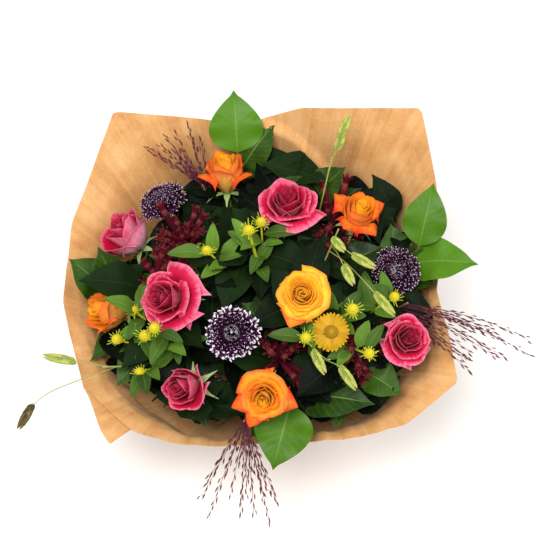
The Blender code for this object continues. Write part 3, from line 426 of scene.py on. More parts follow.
# Salal: the stem's top, then each leaf's tip and width in mm, from the topmost down.
SALAL = {
    "back": (
        (-40, 168, 289),
        [((-44, 228, 325), 56), ((-18, 196, 319), 40),
         ((-4, 160, 295), 34), ((-84, 150, 286), 40)],
    ),
    "back_right": (
        (44, 124, 277),
        [((74, 140, 315), 38), ((4, 132, 307), 40),
         ((92, 126, 295), 34), ((50, 172, 297), 40)],
    ),
    "right": (
        (150, 56, 289),
        [((164, 118, 321), 44), ((208, 34, 301), 48),
         ((120, 84, 295), 36), ((166, 18, 287), 38)],
    ),
    "left": (
        (-176, 26, 245),
        [((-214, 50, 281), 44), ((-176, 84, 269), 40),
         ((-142, 50, 273), 36), ((-196, -34, 258), 38)],
    ),
    "front": (
        (18, -100, 269),
        [((-2, -168, 249), 58), ((100, -108, 275), 48),
         ((52, -66, 285), 40), ((-34, -132, 262), 38)],
    ),
    "inner_left": (
        (-52, 26, 267),
        [((-90, 62, 291), 42), ((-70, -22, 285), 40),
         ((-24, 62, 293), 38), ((-112, 22, 283), 40)],
    ),
    "inner_right": (
        (62, 40, 269),
        [((112, 60, 289), 42), ((36, 84, 291), 38),
         ((92, 8, 291), 38), ((56, -8, 291), 36)],
    ),
    "inner_front": (
        (-4, -30, 273),
        [((-34, -6, 295), 40), ((34, -54, 293), 38),
         ((-60, -46, 283), 34), ((-70, -104, 262), 40)],
    ),
    "front_left": (
        (-126, -36, 258),
        [((-160, -84, 262), 38), ((-128, -112, 254), 40),
         ((-84, -122, 254), 38), ((-150, -20, 268), 38)],
    ),
    "front_right": (
        (88, -66, 262),
        [((128, -92, 258), 38), ((150, -24, 272), 38),
         ((60, -128, 255), 40), ((96, -30, 285), 34)],
    ),
}
# The wrap's rim: bearing in degrees, reach and height in mm. The corners of the sheet stand out.
RIM = [
    (7, 166, 268), (22, 182, 285), (37, 210, 307), (52, 246, 343), (60, 236, 343),
    (82, 206, 327), (98, 202, 305), (110, 216, 307), (130, 264, 323), (139, 250, 309),
    (156, 230, 281), (176, 218, 257), (200, 206, 235), (217, 184, 226), (232, 158, 226),
    (250, 134, 228), (280, 124, 229), (305, 146, 233), (320, 172, 239), (338, 198, 255),
    (352, 178, 259),
]
# The wrap's belly, where it turns from cone to flare.
BELLY = [
    (0, 150, 223), (45, 168, 241), (90, 172, 245), (135, 188, 233),
    (180, 184, 213), (225, 150, 195), (270, 112, 193), (315, 134, 203),
]
SHEET_END = 216  # bearing of the sheet's outer end, whose corner stands out past the rim
SHEET_OVERLAP = 34  # degrees by which the inner end runs on behind it
SHEET_CORNER = (-16, -14, -14)  # how far that corner stands out, in mm
STEM_WIDTH = {  # in mm
    "rose": 5.0, "scabious": 2.6, "helenium": 3.6, "kangaroo_paw": 4.2, "fountain_grass": 2.2,
    "sea_oats": 1.8, "salal": 4.2,
}
# Turns about the vertical and lifts, in degrees, tried in this order to bend a piece clear
BENDS = [(turn, lift) for lift in (0, 12, -12, 24) for turn in (0, 9, -9, 18, -18, 30, -30, 45, -45)]

# --- what the solids leave out ---

TIP_ROOM = 1.1 * MM  # how near to a solid's corner the tip of its leaf has to be found
BLADE = 0.5 * MM  # how thick petals, leaves, glumes and the paper are drawn
GOLDEN_ANGLE = 2.39996  # in radians
STRAND_DEPTH = 0.16  # of the twine's radius
STRAND_TWIST = 420.0  # radians per metre
CROWDED_PAWS = 46  # more flowers tried on each kangaroo paw stem, of which those that fit are grown
TWIG_STEP = 29 * MM  # between the ends of the side twigs
TWIG_REACH = 46 * MM  # how far from a bloom or leaf a side twig may end
EDGE_ROOM = 15 * MM  # between the undergrowth and the paper
PAW_ROOM = 38 * MM  # between the undergrowth and the top of a kangaroo paw
HEART_TONE = 0.08
WING_TONE = 1.25  # past the outermost whorl's, so that the rim's colour comes further in
# Whorls of petals from the heart outwards, for roses that are open further than so much. Each has its number
# of petals, their reach and rise, how far the lip rolls out, half the turn that a petal takes in degrees, and
# how pointed its lip is.
WHORLS = [
    (0.9, [
        (3, 0.37, 1.00, 0.03, 66, 0.1), (4, 0.47, 0.99, 0.07, 58, 0.2), (5, 0.57, 0.97, 0.11, 50, 0.4),
        (5, 0.68, 0.95, 0.17, 48, 0.6), (5, 0.79, 0.92, 0.24, 48, 0.9), (5, 0.89, 0.87, 0.33, 50, 1),
    ]),
    (0.45, [
        (3, 0.38, 1.00, 0.02, 70, 0.1), (3, 0.50, 0.99, 0.08, 66, 0.3), (4, 0.63, 0.96, 0.15, 58, 0.5),
        (4, 0.77, 0.91, 0.24, 56, 0.8), (5, 0.88, 0.84, 0.36, 52, 1),
    ]),
    (0, [
        (3, 0.38, 1.00, -0.04, 74, 0), (3, 0.52, 0.99, 0.02, 68, 0.2), (3, 0.69, 0.96, 0.05, 66, 0.5),
        (5, 0.86, 0.90, 0.13, 54, 1),
    ]),
]
# How far the lip's point stands out on a full bloom, as a share of its radius
POINTED = {"orange": 0.24, "pink": 0.12, "yellow": 0.15}
# Where the heart of a rose lies aside, as shares of its radius
HEART_ASIDE = {
    "left_pink": (-0.05, 0.25, 0.1), "centre_left": (-0.32, 0.06, 0), "front_left": (-0.28, -0.02, 0),
    "right_pink": (0.02, 0.14, 0), "left": (-0.2, 0, 0.1), "back_pink": (-0.05, 0.1, 0),
    "front": (-0.05, -0.08, 0),
}
# The way that each winged outer petal of a rose turns
WINGS = {
    "front": [(-1, -0.35, -0.1), (1, -0.3, -0.1), (-0.45, -1, 0)],
    "centre": [(-0.35, -1, 0)],
    "back_right": [(-0.8, 0.6, 0.2), (0.9, 0.5, 0.2), (0.5, -0.9, 0), (-0.6, -0.8, 0)],
    "back": [(-0.7, -0.5, 0), (0.8, -0.6, 0)],
}
EARLY_SCABIOUS = "front"  # the head whose middle florets are still shut
FLOWERING_SPRAY = "right"  # the helenium that has the open flower
DRY_OAT = ("left", 1)  # the oat spikelet that has dried, by stem and number
# The tone of the salal leaves that aren't like the rest, by stem and number, from dark at 0 to young at 1
YOUNG_LEAVES = {
    ("back", 0): 1.0, ("back", 1): 0.3, ("right", 0): 0.85, ("right", 1): 1.0, ("front", 0): 0.8,
    ("front", 1): 0.2, ("left", 0): 0.35,
}
# The rim's points, less those that would blunt the sheet's own corners
SHEET_EDGE = [row for row in RIM if row[0] not in (60, 139)]
LIT_PLACE = (0, 0, 0.2)  # where the lamps are aimed
CAMERA_PLACE = (0.00166, -0.60268, 1.63737)
CAMERA_AIM = (0.00166, 0.07350, 0.18728)


def spot(place):
    return Vector(place) * MM


def facing(bearing, lean):
    """The unit vector that leans that far from upright, towards a bearing."""
    a, b = math.radians(bearing), math.radians(lean)
    return Vector((math.sin(b) * math.cos(a), math.sin(b) * math.sin(a), math.cos(b)))


def framed(origin, forward, up):
    """The matrix that puts local Y along forward and local Z near up."""
    y = forward.normalized()
    x = y.cross(up).normalized()
    matrix = Matrix((x, y, x.cross(y))).transposed().to_4x4()
    matrix.translation = origin
    return matrix


def seat(origin, axis, turn=0.0):
    """The matrix that stands a head on a stem, its local Z along the stem's end."""
    matrix = axis.to_track_quat("Z", "Y").to_matrix().to_4x4() @ Matrix.Rotation(turn, 4, "Z")
    matrix.translation = origin
    return matrix


def smooth(share):
    """A share from 0 to 1 that leaves both ends gently."""
    share = min(1.0, max(0.0, share))
    return share * share * (3 - 2 * share)


def hermite(start, start_pull, end, end_pull, count):
    """Points on the curve that leaves the start along one pull and meets the end along the other."""
    points = []
    for i in range(count + 1):
        t = i / count
        points.append(
            start * (2 * t**3 - 3 * t**2 + 1)
            + start_pull * (t**3 - 2 * t**2 + t)
            + end * (3 * t**2 - 2 * t**3)
            + end_pull * (t**3 - t**2)
        )
    return points


def along(points, share):
    """The point at that share of the way along a line, and the direction there."""
    lengths = [0.0]
    for a, b in zip(points, points[1:]):
        lengths.append(lengths[-1] + (b - a).length)
    wanted = share * lengths[-1]
    for i in range(len(points) - 1):
        if wanted <= lengths[i + 1] or i == len(points) - 2:
            step = points[i + 1] - points[i]
            return points[i] + step * ((wanted - lengths[i]) / step.length), step.normalized()


def bend(way, turn, lift):
    """A direction turned about the vertical and lifted, in degrees."""
    level = Vector((way.y, -way.x, 0))
    lifted = Matrix.Rotation(math.radians(lift), 3, level) @ way if level.length > 0 else way
    return Matrix.Rotation(math.radians(turn), 3, "Z") @ lifted


def stem_table():
    """Each stem's name, kind, top and the direction of its last stretch."""
    rows = []
    for name, (middle, bearing, lean, _, height, _, _) in ROSES.items():
        axis = facing(bearing, lean)
        rows.append(("rose_" + name, "rose", spot(middle) - axis * (height / 2) * MM, axis))
    for name, (middle, bearing, lean, radius) in SCABIOUS.items():
        axis = facing(bearing, lean)
        rows.append(("scabious_" + name, "scabious", spot(middle) - axis * radius * 0.5 * MM, axis))
    sprays = {
        "helenium": HELENIUM,
        "kangaroo_paw": PAWS,
        "fountain_grass": GRASSES,
        "sea_oats": OATS,
        "salal": SALAL,
    }
    for kind, table in sprays.items():
        for name, row in table.items():
            top = spot(row[0])
            out = Vector((top.x, top.y, 0)) / OUTERMOST
            rows.append((f"{kind}_{name}", kind, top, (out + UP).normalized()))
    return rows


def packed_waist(rows):
    """Where each stem crosses the tie: in the order of the heads, turned by the spiral and pressed tight."""
    places, sizes = [], []
    for _, kind, top, _ in rows:
        turn = math.atan2(top.y, top.x) - math.atan(SPLAY * (top.z - TIE_HEIGHT))
        reach = math.hypot(top.x, top.y) / OUTERMOST * BUNDLE_RADIUS
        places.append((reach * math.cos(turn), reach * math.sin(turn)))
        sizes.append((STEM_WIDTH[kind] * MM * SLANT + STEM_GAP) / 2)
    spots, sizes = np.array(places), np.array(sizes)
    for step in range(900):
        if step < 700:
            spots *= 0.996
        apart = spots[:, None] - spots[None]
        distance = np.hypot(apart[..., 0], apart[..., 1]) + np.eye(len(spots))
        short = np.maximum(0, sizes[:, None] + sizes[None] - distance)
        np.fill_diagonal(short, 0)
        spots = spots + 0.5 * (apart * (short / distance)[..., None]).sum(1)
    return spots


def routes(rows, waist):
    """Each stem's centre line, from its cut end on the floor through the tie to its top."""
    lines = {}
    for (name, _, top, end), (x, y) in zip(rows, waist):
        way = Vector((-y * SPLAY, x * SPLAY, 1)) + Vector(HANDLE_LEAN)
        foot = Vector((x, y, TIE_HEIGHT)) - way * TIE_HEIGHT
        leave = foot + way * (TIE_HEIGHT + STRAIGHT)
        pull = (top - leave).length * 0.9
        before = top - end * 3 * MM
        lines[name] = [foot, *hermite(leave, way * pull, before, end * pull, 3), top]
    return lines


def ovate(share):
    """A broad leaf's half width along its length, as a share of the widest."""
    return abs(math.sin(math.pi * share**0.8)) ** 0.75 * (1.1 - 0.25 * share)


def lance(share):
    """A slender leaf's half width along its length, as a share of the widest."""
    return abs(math.sin(math.pi * share**0.9)) ** 0.8 * (1.15 - 0.3 * share)


def closed_ring(ring):
    """A ring's points in order, with its last one again before the first and its first again at the end."""
    spots = sorted(ring)
    return [(spots[-1][0] - 360, *spots[-1][1:]), *spots, (spots[0][0] + 360, *spots[0][1:])]


def read_ring(ring, bearing):
    """(reach, height) of a ring of points at a bearing, eased between its neighbours."""
    spots = closed_ring(ring)
    bearing %= 360
    for (a, *low), (b, *high) in zip(spots, spots[1:]):
        if a <= bearing <= b:
            share = (bearing - a) / (b - a)
            share = 0.5 * share + 0.5 * smooth(share)
            return [(x + (y - x) * share) * MM for x, y in zip(low, high)]


def wrap_point(u, v, collar):
    """The paper at u along the sheet, from -1 to 1, and v from 0 at the skirt's hem to 1 at the rim."""
    turn = SHEET_END - (360 + SHEET_OVERLAP) * (u + 1) / 2
    layer = PAPER_LAP * (1 - u) / 2
    rim_reach, rim_height = read_ring(RIM, turn)
    belly_reach, belly_height = read_ring(BELLY, turn)
    if v < 0.25:
        share = v / 0.25
        reach = collar + 26 * MM * (1 - share) ** 1.3
        height = TIE_HEIGHT - WAIST - (SKIRT - WAIST) * (1 - share)
    elif v < 0.375:
        reach = collar
        height = TIE_HEIGHT + WAIST * (16 * v - 5)
    elif v < 0.625:
        share = (v - 0.375) / 0.25
        reach = collar + (belly_reach - collar) * share**0.9
        height = TIE_HEIGHT + WAIST + (belly_height - TIE_HEIGHT - WAIST) * share
    else:
        share = (v - 0.625) / 0.375
        reach = belly_reach + (rim_reach - belly_reach) * (0.55 * share + 0.45 * share**2)
        height = belly_height + (rim_height - belly_height) * (1.15 * share - 0.15 * share**2)
    a = math.radians(turn)
    reach += LAP_SPREAD * layer
    height -= 0.65 * layer * smooth((v - 0.375) / 0.12)
    corner = smooth(1 - (u + 1) / 0.09) * smooth((v - 0.6) / 0.4)
    return Vector((reach * math.cos(a), reach * math.sin(a), height)) + spot(SHEET_CORNER) * corner


# --- gathering surfaces ---


class Piece:
    """The surfaces of one piece, gathered before they become a mesh.

    Each point carries four marks: how far across its petal, leaf or stem it lies, how far along, the tone of
    that petal or leaf, and 0 on its inner or upper face or 1 on the other.
    """

    def __init__(self):
        self.points = []
        self.marks = []
        self.faces = []
        self.count = 0

    def add(self, points, marks, *faces):
        """Points with their marks, and arrays of faces on them, each with its own number of corners."""
        self.points.append(points)
        self.marks.append(marks)
        for rows in faces:
            self.faces.extend((rows + self.count).tolist())
        self.count += len(points)


def marked(across, along_, tone, side):
    """The four marks of each point, as rows."""
    marks = [np.broadcast_to(mark, np.shape(across)).ravel() for mark in (across, along_, tone, side)]
    return np.stack(marks, axis=1).astype(float)


def grid(columns, rows, start=-1):
    """How far across a sheet each of its points lies, from start to 1, and how far up it, from 0 to 1."""
    return np.meshgrid(np.linspace(start, 1, columns), np.linspace(0, 1, rows))


def put(matrix, points):
    """Points moved by a matrix, in a list or a grid."""
    m = np.array(matrix)
    return np.asarray(points) @ m[:3, :3].T + m[:3, 3]


def sheet(piece, face, tone=0.5, thickness=BLADE, edge=0.4):
    """A two-sided sheet over a (rows, columns, 3) grid of points, thinner along its edges."""
    rows, columns = face.shape[:2]
    normal = np.cross(np.gradient(face, axis=1), np.gradient(face, axis=0))
    size = np.linalg.norm(normal, axis=2, keepdims=True)
    normal = normal / np.maximum(size, 1e-12)
    for row, near in ((0, 1), (rows - 1, rows - 2)):
        if size[row].max() < 1e-9:
            normal[row] = normal[near]
    depth = np.full((rows, columns, 1), thickness / 2)
    depth[0], depth[-1], depth[:, 0], depth[:, -1] = [thickness * edge / 2] * 4
    front, back = face + normal * depth, face - normal * depth
    u, v = grid(columns, rows)
    index = np.arange(rows * columns).reshape(rows, columns)
    quads = np.stack([index[:-1, :-1], index[:-1, 1:], index[1:, 1:], index[1:, :-1]], axis=-1).reshape(-1, 4)
    count = rows * columns
    border = np.concatenate([index[0, :-1], index[:-1, -1], index[-1, :0:-1], index[:0:-1, 0]])
    after = np.roll(border, -1)
    walls = np.stack([after, border, border + count, after + count], axis=1)
    points = np.concatenate([front.reshape(-1, 3), back.reshape(-1, 3)])
    marks = np.concatenate([marked(u, v, tone, 0.0), marked(u, v, tone, 1.0)])
    piece.add(points, marks, np.concatenate([quads, quads[:, ::-1] + count, walls]))


def skin(rings, sides):
    """The quads between rings of points."""
    index = np.arange(rings * sides).reshape(rings, sides)
    beside = np.roll(index, -1, axis=1)
    return np.stack([index[:-1], beside[:-1], beside[1:], index[1:]], axis=-1).reshape(-1, 4)


def caps(rings, sides):
    """The triangles that close a skin's ends, round the two middles that follow its points."""
    first, beside = np.arange(sides), np.roll(np.arange(sides), -1)
    last = (rings - 1) * sides
    foot = np.stack([beside, first, np.full(sides, rings * sides)], axis=1)
    head = np.stack([last + first, last + beside, np.full(sides, rings * sides + 1)], axis=1)
    return np.concatenate([foot, head])


def tube(piece, line, radii, sides=8, tone=0.5, lobes=0, twist=0.0):
    """A closed tube along a line. Lobes, twisted round it, make it a cord of that many strands."""
    line = np.asarray(line, float)
    radii = np.broadcast_to(np.asarray(radii, float), len(line))
    ways = np.gradient(line, axis=0)
    ways /= np.linalg.norm(ways, axis=1, keepdims=True)
    side = np.array([1.0, 0, 0]) if abs(ways[0][0]) < 0.9 else np.array([0, 1.0, 0])
    turns = np.arange(sides) * math.tau / sides
    travelled = np.concatenate([[0], np.cumsum(np.linalg.norm(np.diff(line, axis=0), axis=1))])
    rings = []
    for point, way, radius, run in zip(line, ways, radii, travelled):
        side = side - way * side.dot(way)
        side /= np.linalg.norm(side)
        ring = np.outer(np.cos(turns), side) + np.outer(np.sin(turns), np.cross(way, side))
        reach = radius * (1 + STRAND_DEPTH * np.cos(lobes * (turns - twist * run))) if lobes else radius
        rings.append(point + ring * np.reshape(reach, (-1, 1)))
    across = np.append(np.tile(np.linspace(-1, 1, sides), len(line)), [0, 0])
    along_ = np.append(np.repeat(np.linspace(0, 1, len(line)), sides), [0, 1])
    cut = np.append(np.zeros(len(line) * sides), [1, 1])
    points = np.concatenate([*rings, line[:1], line[-1:]])
    piece.add(points, marked(across, along_, tone, cut), skin(len(line), sides), caps(len(line), sides))


def tapered(course, radius, loss):
    """A radius for each point of a course, which loses that share of itself towards the end."""
    return [radius * (1 - loss * i / len(course)) for i in range(len(course))]


def lathe(piece, profile, sides, matrix, tone=0.5):
    """A closed turned body from (radius, height) pairs, bottom to top."""
    turns = np.arange(sides) * math.tau / sides
    rings = [np.stack([r * np.cos(turns), r * np.sin(turns), np.full(sides, z)], axis=1) for r, z in profile]
    ends = [[0, 0, profile[0][1]], [0, 0, profile[-1][1]]]
    along_ = np.append(np.repeat(np.linspace(0, 1, len(profile)), sides), [0, 1])
    piece.add(
        put(matrix, np.concatenate([*rings, ends])), marked(np.zeros(len(along_)), along_, tone, 0.0),
        skin(len(profile), sides), caps(len(profile), sides),
    )


def stamp(piece, model, matrix, tone=0.5):
    """A copy of a model, which is (points, marks, arrays of faces), placed by a matrix."""
    points, marks, faces = model
    marks = marks.copy()
    marks[:, 2] = tone
    piece.add(put(matrix, points), marks, *faces)


def taken(made):
    """An object's mesh as a model, marked by how far up it each point lies. The object is removed."""
    points = np.array([vert.co[:] for vert in made.data.vertices])
    rows = [face.vertices[:] for face in made.data.polygons]
    counts = sorted({len(row) for row in rows})
    faces = [np.array([row for row in rows if len(row) == count]) for count in counts]
    low, high = points[:, 2].min(), points[:, 2].max()
    share = (points[:, 2] - low) / (high - low)
    bpy.data.objects.remove(made)
    return points, marked(np.zeros(len(points)), share, 0.5, 0.0), faces


def finish_piece(piece, name, nodes, material, sharp=50):
    """The piece as an object that stands for those solids and rides with them, kept above the floor."""
    points = np.concatenate(piece.points) + np.array(SHIFT)
    points[:, 2] = np.maximum(points[:, 2], 0)
    mesh = bpy.data.meshes.new(name)
    mesh.from_pydata(points.tolist(), [], piece.faces)
    marks = mesh.attributes.new("marks", "FLOAT_COLOR", "POINT")
    marks.data.foreach_set("color", np.concatenate(piece.marks).astype(np.float32).ravel())
    mesh.shade_smooth()
    mesh.set_sharp_from_angle(angle=math.radians(sharp))
    mesh.materials.append(material)
    made = bpy.data.objects.new(name, mesh)
    bpy.context.scene.collection.objects.link(made)
    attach(made, "root")
    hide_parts(*nodes)


# --- where the solids stand ---


def solid_points(node):
    """The corners of a solid, in the layout's own place."""
    mesh = SOLIDS[node].data
    points = np.empty(len(mesh.vertices) * 3)
    mesh.vertices.foreach_get("co", points)
    return points.reshape(-1, 3) - np.array(SHIFT)


def find_shift():
    """How far the solids stand from the layout: the cut end of one stem against its own."""
    mesh = SOLIDS["salal_back"].data
    ends = [vert.co for vert in mesh.vertices if vert.co.z < 0.01 * MM]
    middle = sum(ends, Vector()) / len(ends)
    foot = LINES["salal_back"][0]
    return (middle.x - foot.x, middle.y - foot.y, 0.0)


def bend_taken(node, way, tip):
    """The bend that the solid was grown with, found by where its tip is, or None if it was left out."""
    corners = solid_points(node)
    for turn, lift in BENDS:
        bent = bend(way, turn, lift)
        if np.linalg.norm(corners - np.array(tip(bent)), axis=1).min() < TIP_ROOM:
            return bent
    return None


def leaf_tip(root):
    """The function that says where a leaf from that root ends, once it is bent."""
    return lambda bent: framed(root, bent, UP) @ Vector((0, bent.length, 0))


def smoothed(line, steps=8):
    """A round course through the points of a line."""
    points = [line[0] * 2 - line[1], *line, line[-1] * 2 - line[-2]]
    course = []
    for a, b, c, d in zip(points, points[1:], points[2:], points[3:]):
        square, cube = 2 * a - 5 * b + 4 * c - d, 3 * b - a - 3 * c + d
        for i in range(steps):
            t = i / steps
            course.append(0.5 * (2 * b + (c - a) * t + square * t**2 + cube * t**3))
    return [*course, line[-1]]


def nearest_on(course, place):
    return min(course, key=lambda point: (point - place).length)


# --- roses ---


def round_heart(middle, turn, out, rise, v):
    """Points at a turn, reach and height round the heart's middle line, which leans aside as it rises."""
    aside = 0.3 + 0.7 * v
    x = middle[0] * aside + out * np.cos(turn)
    y = middle[1] * aside + out * np.sin(turn)
    return np.stack([x, y, rise], axis=-1)


def rose_petal(piece, matrix, bearing, half, middle, foot, reach, height, lip, point, tone, chance):
    """One petal: it swells up from its foot, and its rim curls over outwards, with its sides rolled back."""
    u, v = grid(17, 14)
    away = np.abs(u)
    wide = 0.42 + 0.58 * np.sin(np.minimum(1, v * 1.45) * math.pi / 2)
    turn = bearing + u * half * wide
    swell = np.sin(np.minimum(1, v * 1.6) * math.pi / 2) ** 0.9
    curl = np.clip((v - 0.45) / 0.55, 0, 1) ** 1.6
    out = foot + (reach - foot) * swell + 0.045 * reach * u
    out += curl * (lip * (1 + 0.2 * u**2) + point * (1 - away) ** 1.5)
    rolled = np.clip((away - 0.62) / 0.38, 0, 1) ** 2 * np.clip((v - 0.3) / 0.4, 0, 1)
    out += 0.11 * reach * rolled
    ripple = 0.045 * reach * curl * np.sin(4 * u + chance * 9)
    ripple += 0.018 * reach * curl * np.sin(11 * u - chance * 7)
    crown = 1 - 0.24 * u**2 - 0.10 * away**5
    if point:
        crown += 0.05 * np.maximum(0, 1 - 3 * away)
    rise = height * v * (1 - (1 - crown) * v**2) - max(0.0, lip + 0.4 * point) * 0.85 * curl**1.6
    face = round_heart(middle, turn, out + ripple, rise + ripple, v)
    sheet(piece, put(matrix, face), tone, edge=0.5)


def rose_heart(piece, matrix, middle, radius, height):
    """The furled middle: three long petals wound round each other, higher and lower round their rims."""
    for k, start in enumerate((0.0, 2.1, 4.2)):
        u, v = grid(46, 8, start=0)
        turn = start + u * math.tau * 1.15
        out = radius * (0.02 + 0.30 * u + 0.02 * k) * (0.72 + 0.28 * v)
        out += 0.03 * radius * np.sin(turn * 2.0 + k) + 0.05 * radius * np.clip((v - 0.75) / 0.25, 0, 1) ** 2
        rise = height * (0.2 + v * (0.72 + 0.02 * k - 0.12 * u**2 + 0.03 * np.sin(turn * 2.3 + k)))
        face = round_heart(middle, turn, out, rise, v)
        sheet(piece, put(matrix, face), HEART_TONE, 0.9 * BLADE, 0.5)


def rose_bloom(name, top, axis, radius, height, open_, colour):
    """A furled heart in whorls of petals, which open with age. The heart may lie to one side."""
    chance = random.Random(name)
    matrix = seat(top + axis * SEAT_GAP, axis, turn=len(name))
    aside = matrix.to_3x3().inverted() @ Vector(HEART_ASIDE.get(name, (0, 0, 0))) * radius
    open_way = math.atan2(-aside.y, -aside.x)
    lopsided = aside.length / radius
    piece = Piece()
    foot = 0.16 * radius
    close = 1 - 0.25 * open_
    point = POINTED[colour] * radius * (0.15 + 0.85 * smooth(open_ / 0.6))
    rose_heart(piece, matrix, aside, radius * close, height)
    whorls = next(rows for least, rows in WHORLS if open_ > least)
    last = len(whorls) - 1
    for ring, (count, reach, rise, lip, half, sharpness) in enumerate(whorls):
        # The inner whorls keep round the heart, and the outer ones spread back to the middle of the bloom
        spread = (ring / last) ** 2.2
        middle = aside * (1 - spread)
        reach *= 1 - 0.9 * lopsided * (1 - spread)
        for k in range(count):
            bearing = math.tau * (k + 0.5 * (ring % 2)) / count + ring * 0.55 + chance.uniform(-0.2, 0.2)
            tone = 0.15 + 0.8 * ring / last + chance.uniform(-0.06, 0.06)
            opened = 1 + 1.4 * lopsided * spread * math.cos(bearing - open_way)
            rose_petal(
                piece, matrix, bearing, math.radians(half * chance.uniform(0.92, 1.08)), middle, foot,
                reach * close * radius * chance.uniform(0.96, 1.02),
                rise * height * chance.uniform(0.93, 1.0),
                lip * radius * chance.uniform(0.6, 1.3) * opened,
                point * sharpness * chance.uniform(0.4, 1.4),
                tone, chance.uniform(-1, 1),
            )
    for side in WINGS.get(name, []):
        way = matrix.to_3x3().inverted() @ Vector(side)
        rose_petal(
            piece, matrix, math.atan2(way.y, way.x), math.radians(36), (0, 0), foot, 0.84 * close * radius,
            0.80 * height, 0.36 * radius, 0.52 * radius, WING_TONE, chance.uniform(-1, 1),
        )
    finish_piece(piece, f"rose_{name}_petals", [f"rose_{name}_bloom"], PETALS[colour])


def rose_stem(name, line, axis):
    """The stem with its swollen hip, its prickles, its five sepals and its leaf."""
    node = f"rose_{name}_stem"
    course = smoothed(line)
    piece = Piece()
    radius = STEM_WIDTH["rose"] / 2 * MM
    tube(piece, course, tapered(course, radius, 0.16), 12)
    hip = [(1.0, -7), (1.25, -5.5), (1.9, -3.5), (2.15, -1.6), (1.9, -0.4), (0.4, 0)]
    lathe(piece, [(r * radius, z * MM) for r, z in hip], 14, seat(line[-1], axis))
    chance = random.Random(name)
    for share in (0.32, 0.4, 0.47, 0.55, 0.62, 0.7, 0.76):
        place, way = along(course, share)
        out = Matrix.Rotation(chance.uniform(0, math.tau), 3, way) @ way.orthogonal().normalized()
        base = place + out * radius * 0.7
        prickle = [base, base + out * 1.6 * MM, base + out * 3.4 * MM - way * 1.2 * MM]
        tube(piece, prickle, [1.1 * MM, 0.6 * MM, 0.1 * MM], 6)
    finish_piece(piece, f"rose_{name}_cane", [node], GREEN_STEM)
    leaves = Piece()
    matrix = seat(line[-1] - axis * 1.8 * MM, axis, turn=len(name))
    for k in range(5):
        turned = matrix @ Matrix.Rotation(math.tau * k / 5, 4, "Z")
        sepal(leaves, turned, ROSE_SEPAL * chance.uniform(0.9, 1.15), 6.5 * MM)
    root, _ = along(line, 0.80)
    out = (Vector((root.x, root.y, 0)).normalized() + UP * 0.9).normalized() * ROSE_LEAF
    way = bend_taken(node, out, leaf_tip(root))
    if way:
        start = nearest_on(course, root)
        rose_leaf(leaves, start, way + root - start)
    finish_piece(leaves, f"rose_{name}_sepals", [node], SEPAL_GREEN)


def sepal(piece, matrix, length, width):
    """A slender sepal that arches out from under the bloom and turns down to a drawn-out point."""
    u, v = grid(5, 10)
    belly = 0.7 + 0.6 * np.sin(math.pi * np.minimum(1, v * 1.4)) ** 2
    half = width / 2 * (1 - v) ** 0.7 * belly + 0.15 * MM
    rise = length * (0.06 * np.sin(math.pi * v) - 0.34 * v**2) + 0.12 * np.abs(u) * half
    sheet(piece, put(matrix, np.stack([2 * MM + length * v, u * half, rise], axis=-1)))


def leaf_face(root, way, width, shape, droop, fold, wave, rows, columns, teeth=0, stalk=0.9):
    """The face of a stalked leaf: arched, folded up at the midrib, waved and, with teeth, saw-edged."""
    length = way.length
    u, v = grid(columns, rows)
    away = np.abs(u)
    body = np.maximum(0, v - 0.1) / 0.9
    half = stalk * MM * np.minimum(1, 12 - 12 * v) + width / 2 * np.vectorize(shape)(body)
    if teeth:
        half = half * (1 - 0.14 * ((v * teeth) % 1) * (body > 0))
    lift = droop * length * np.sin(math.pi * v) + fold * np.sqrt(u**2 + 0.01) * half
    lift += 2 * wave * half * away * np.sin(v * 16)
    veins = np.sin((v * SIDE_VEINS - away * VEIN_LEAN) * math.tau) * away * (1 - away) * 4
    lift += 0.014 * half * veins - 0.3 * MM * np.exp(-((u / 0.08) ** 2)) * (body > 0)
    return put(framed(root, way, UP), np.stack([u * half, length * v, lift], axis=-1))


def rose_leaf(piece, root, way):
    """A leaf of three saw-edged leaflets on one rib."""
    forwards = way.normalized()
    side = forwards.cross(UP).normalized()
    tube(piece, [root, root + way * 0.35, root + way * 0.6], [0.9 * MM, 0.7 * MM, 0.5 * MM], 6)
    face = leaf_face(root + way * 0.5, way * 0.5, 17 * MM, ovate, 0.1, 0.2, 0.02, 25, 9, teeth=12, stalk=0.5)
    sheet(piece, face, 0.4)
    for turn in (-1, 1):
        out = (forwards * 0.6 + side * turn).normalized() * 17 * MM
        face = leaf_face(root + way * 0.36, out, 11 * MM, ovate, 0.1, 0.2, 0.02, 21, 9, teeth=10, stalk=0.5)
        sheet(piece, face, 0.5 + 0.2 * turn)


# --- scabious ---


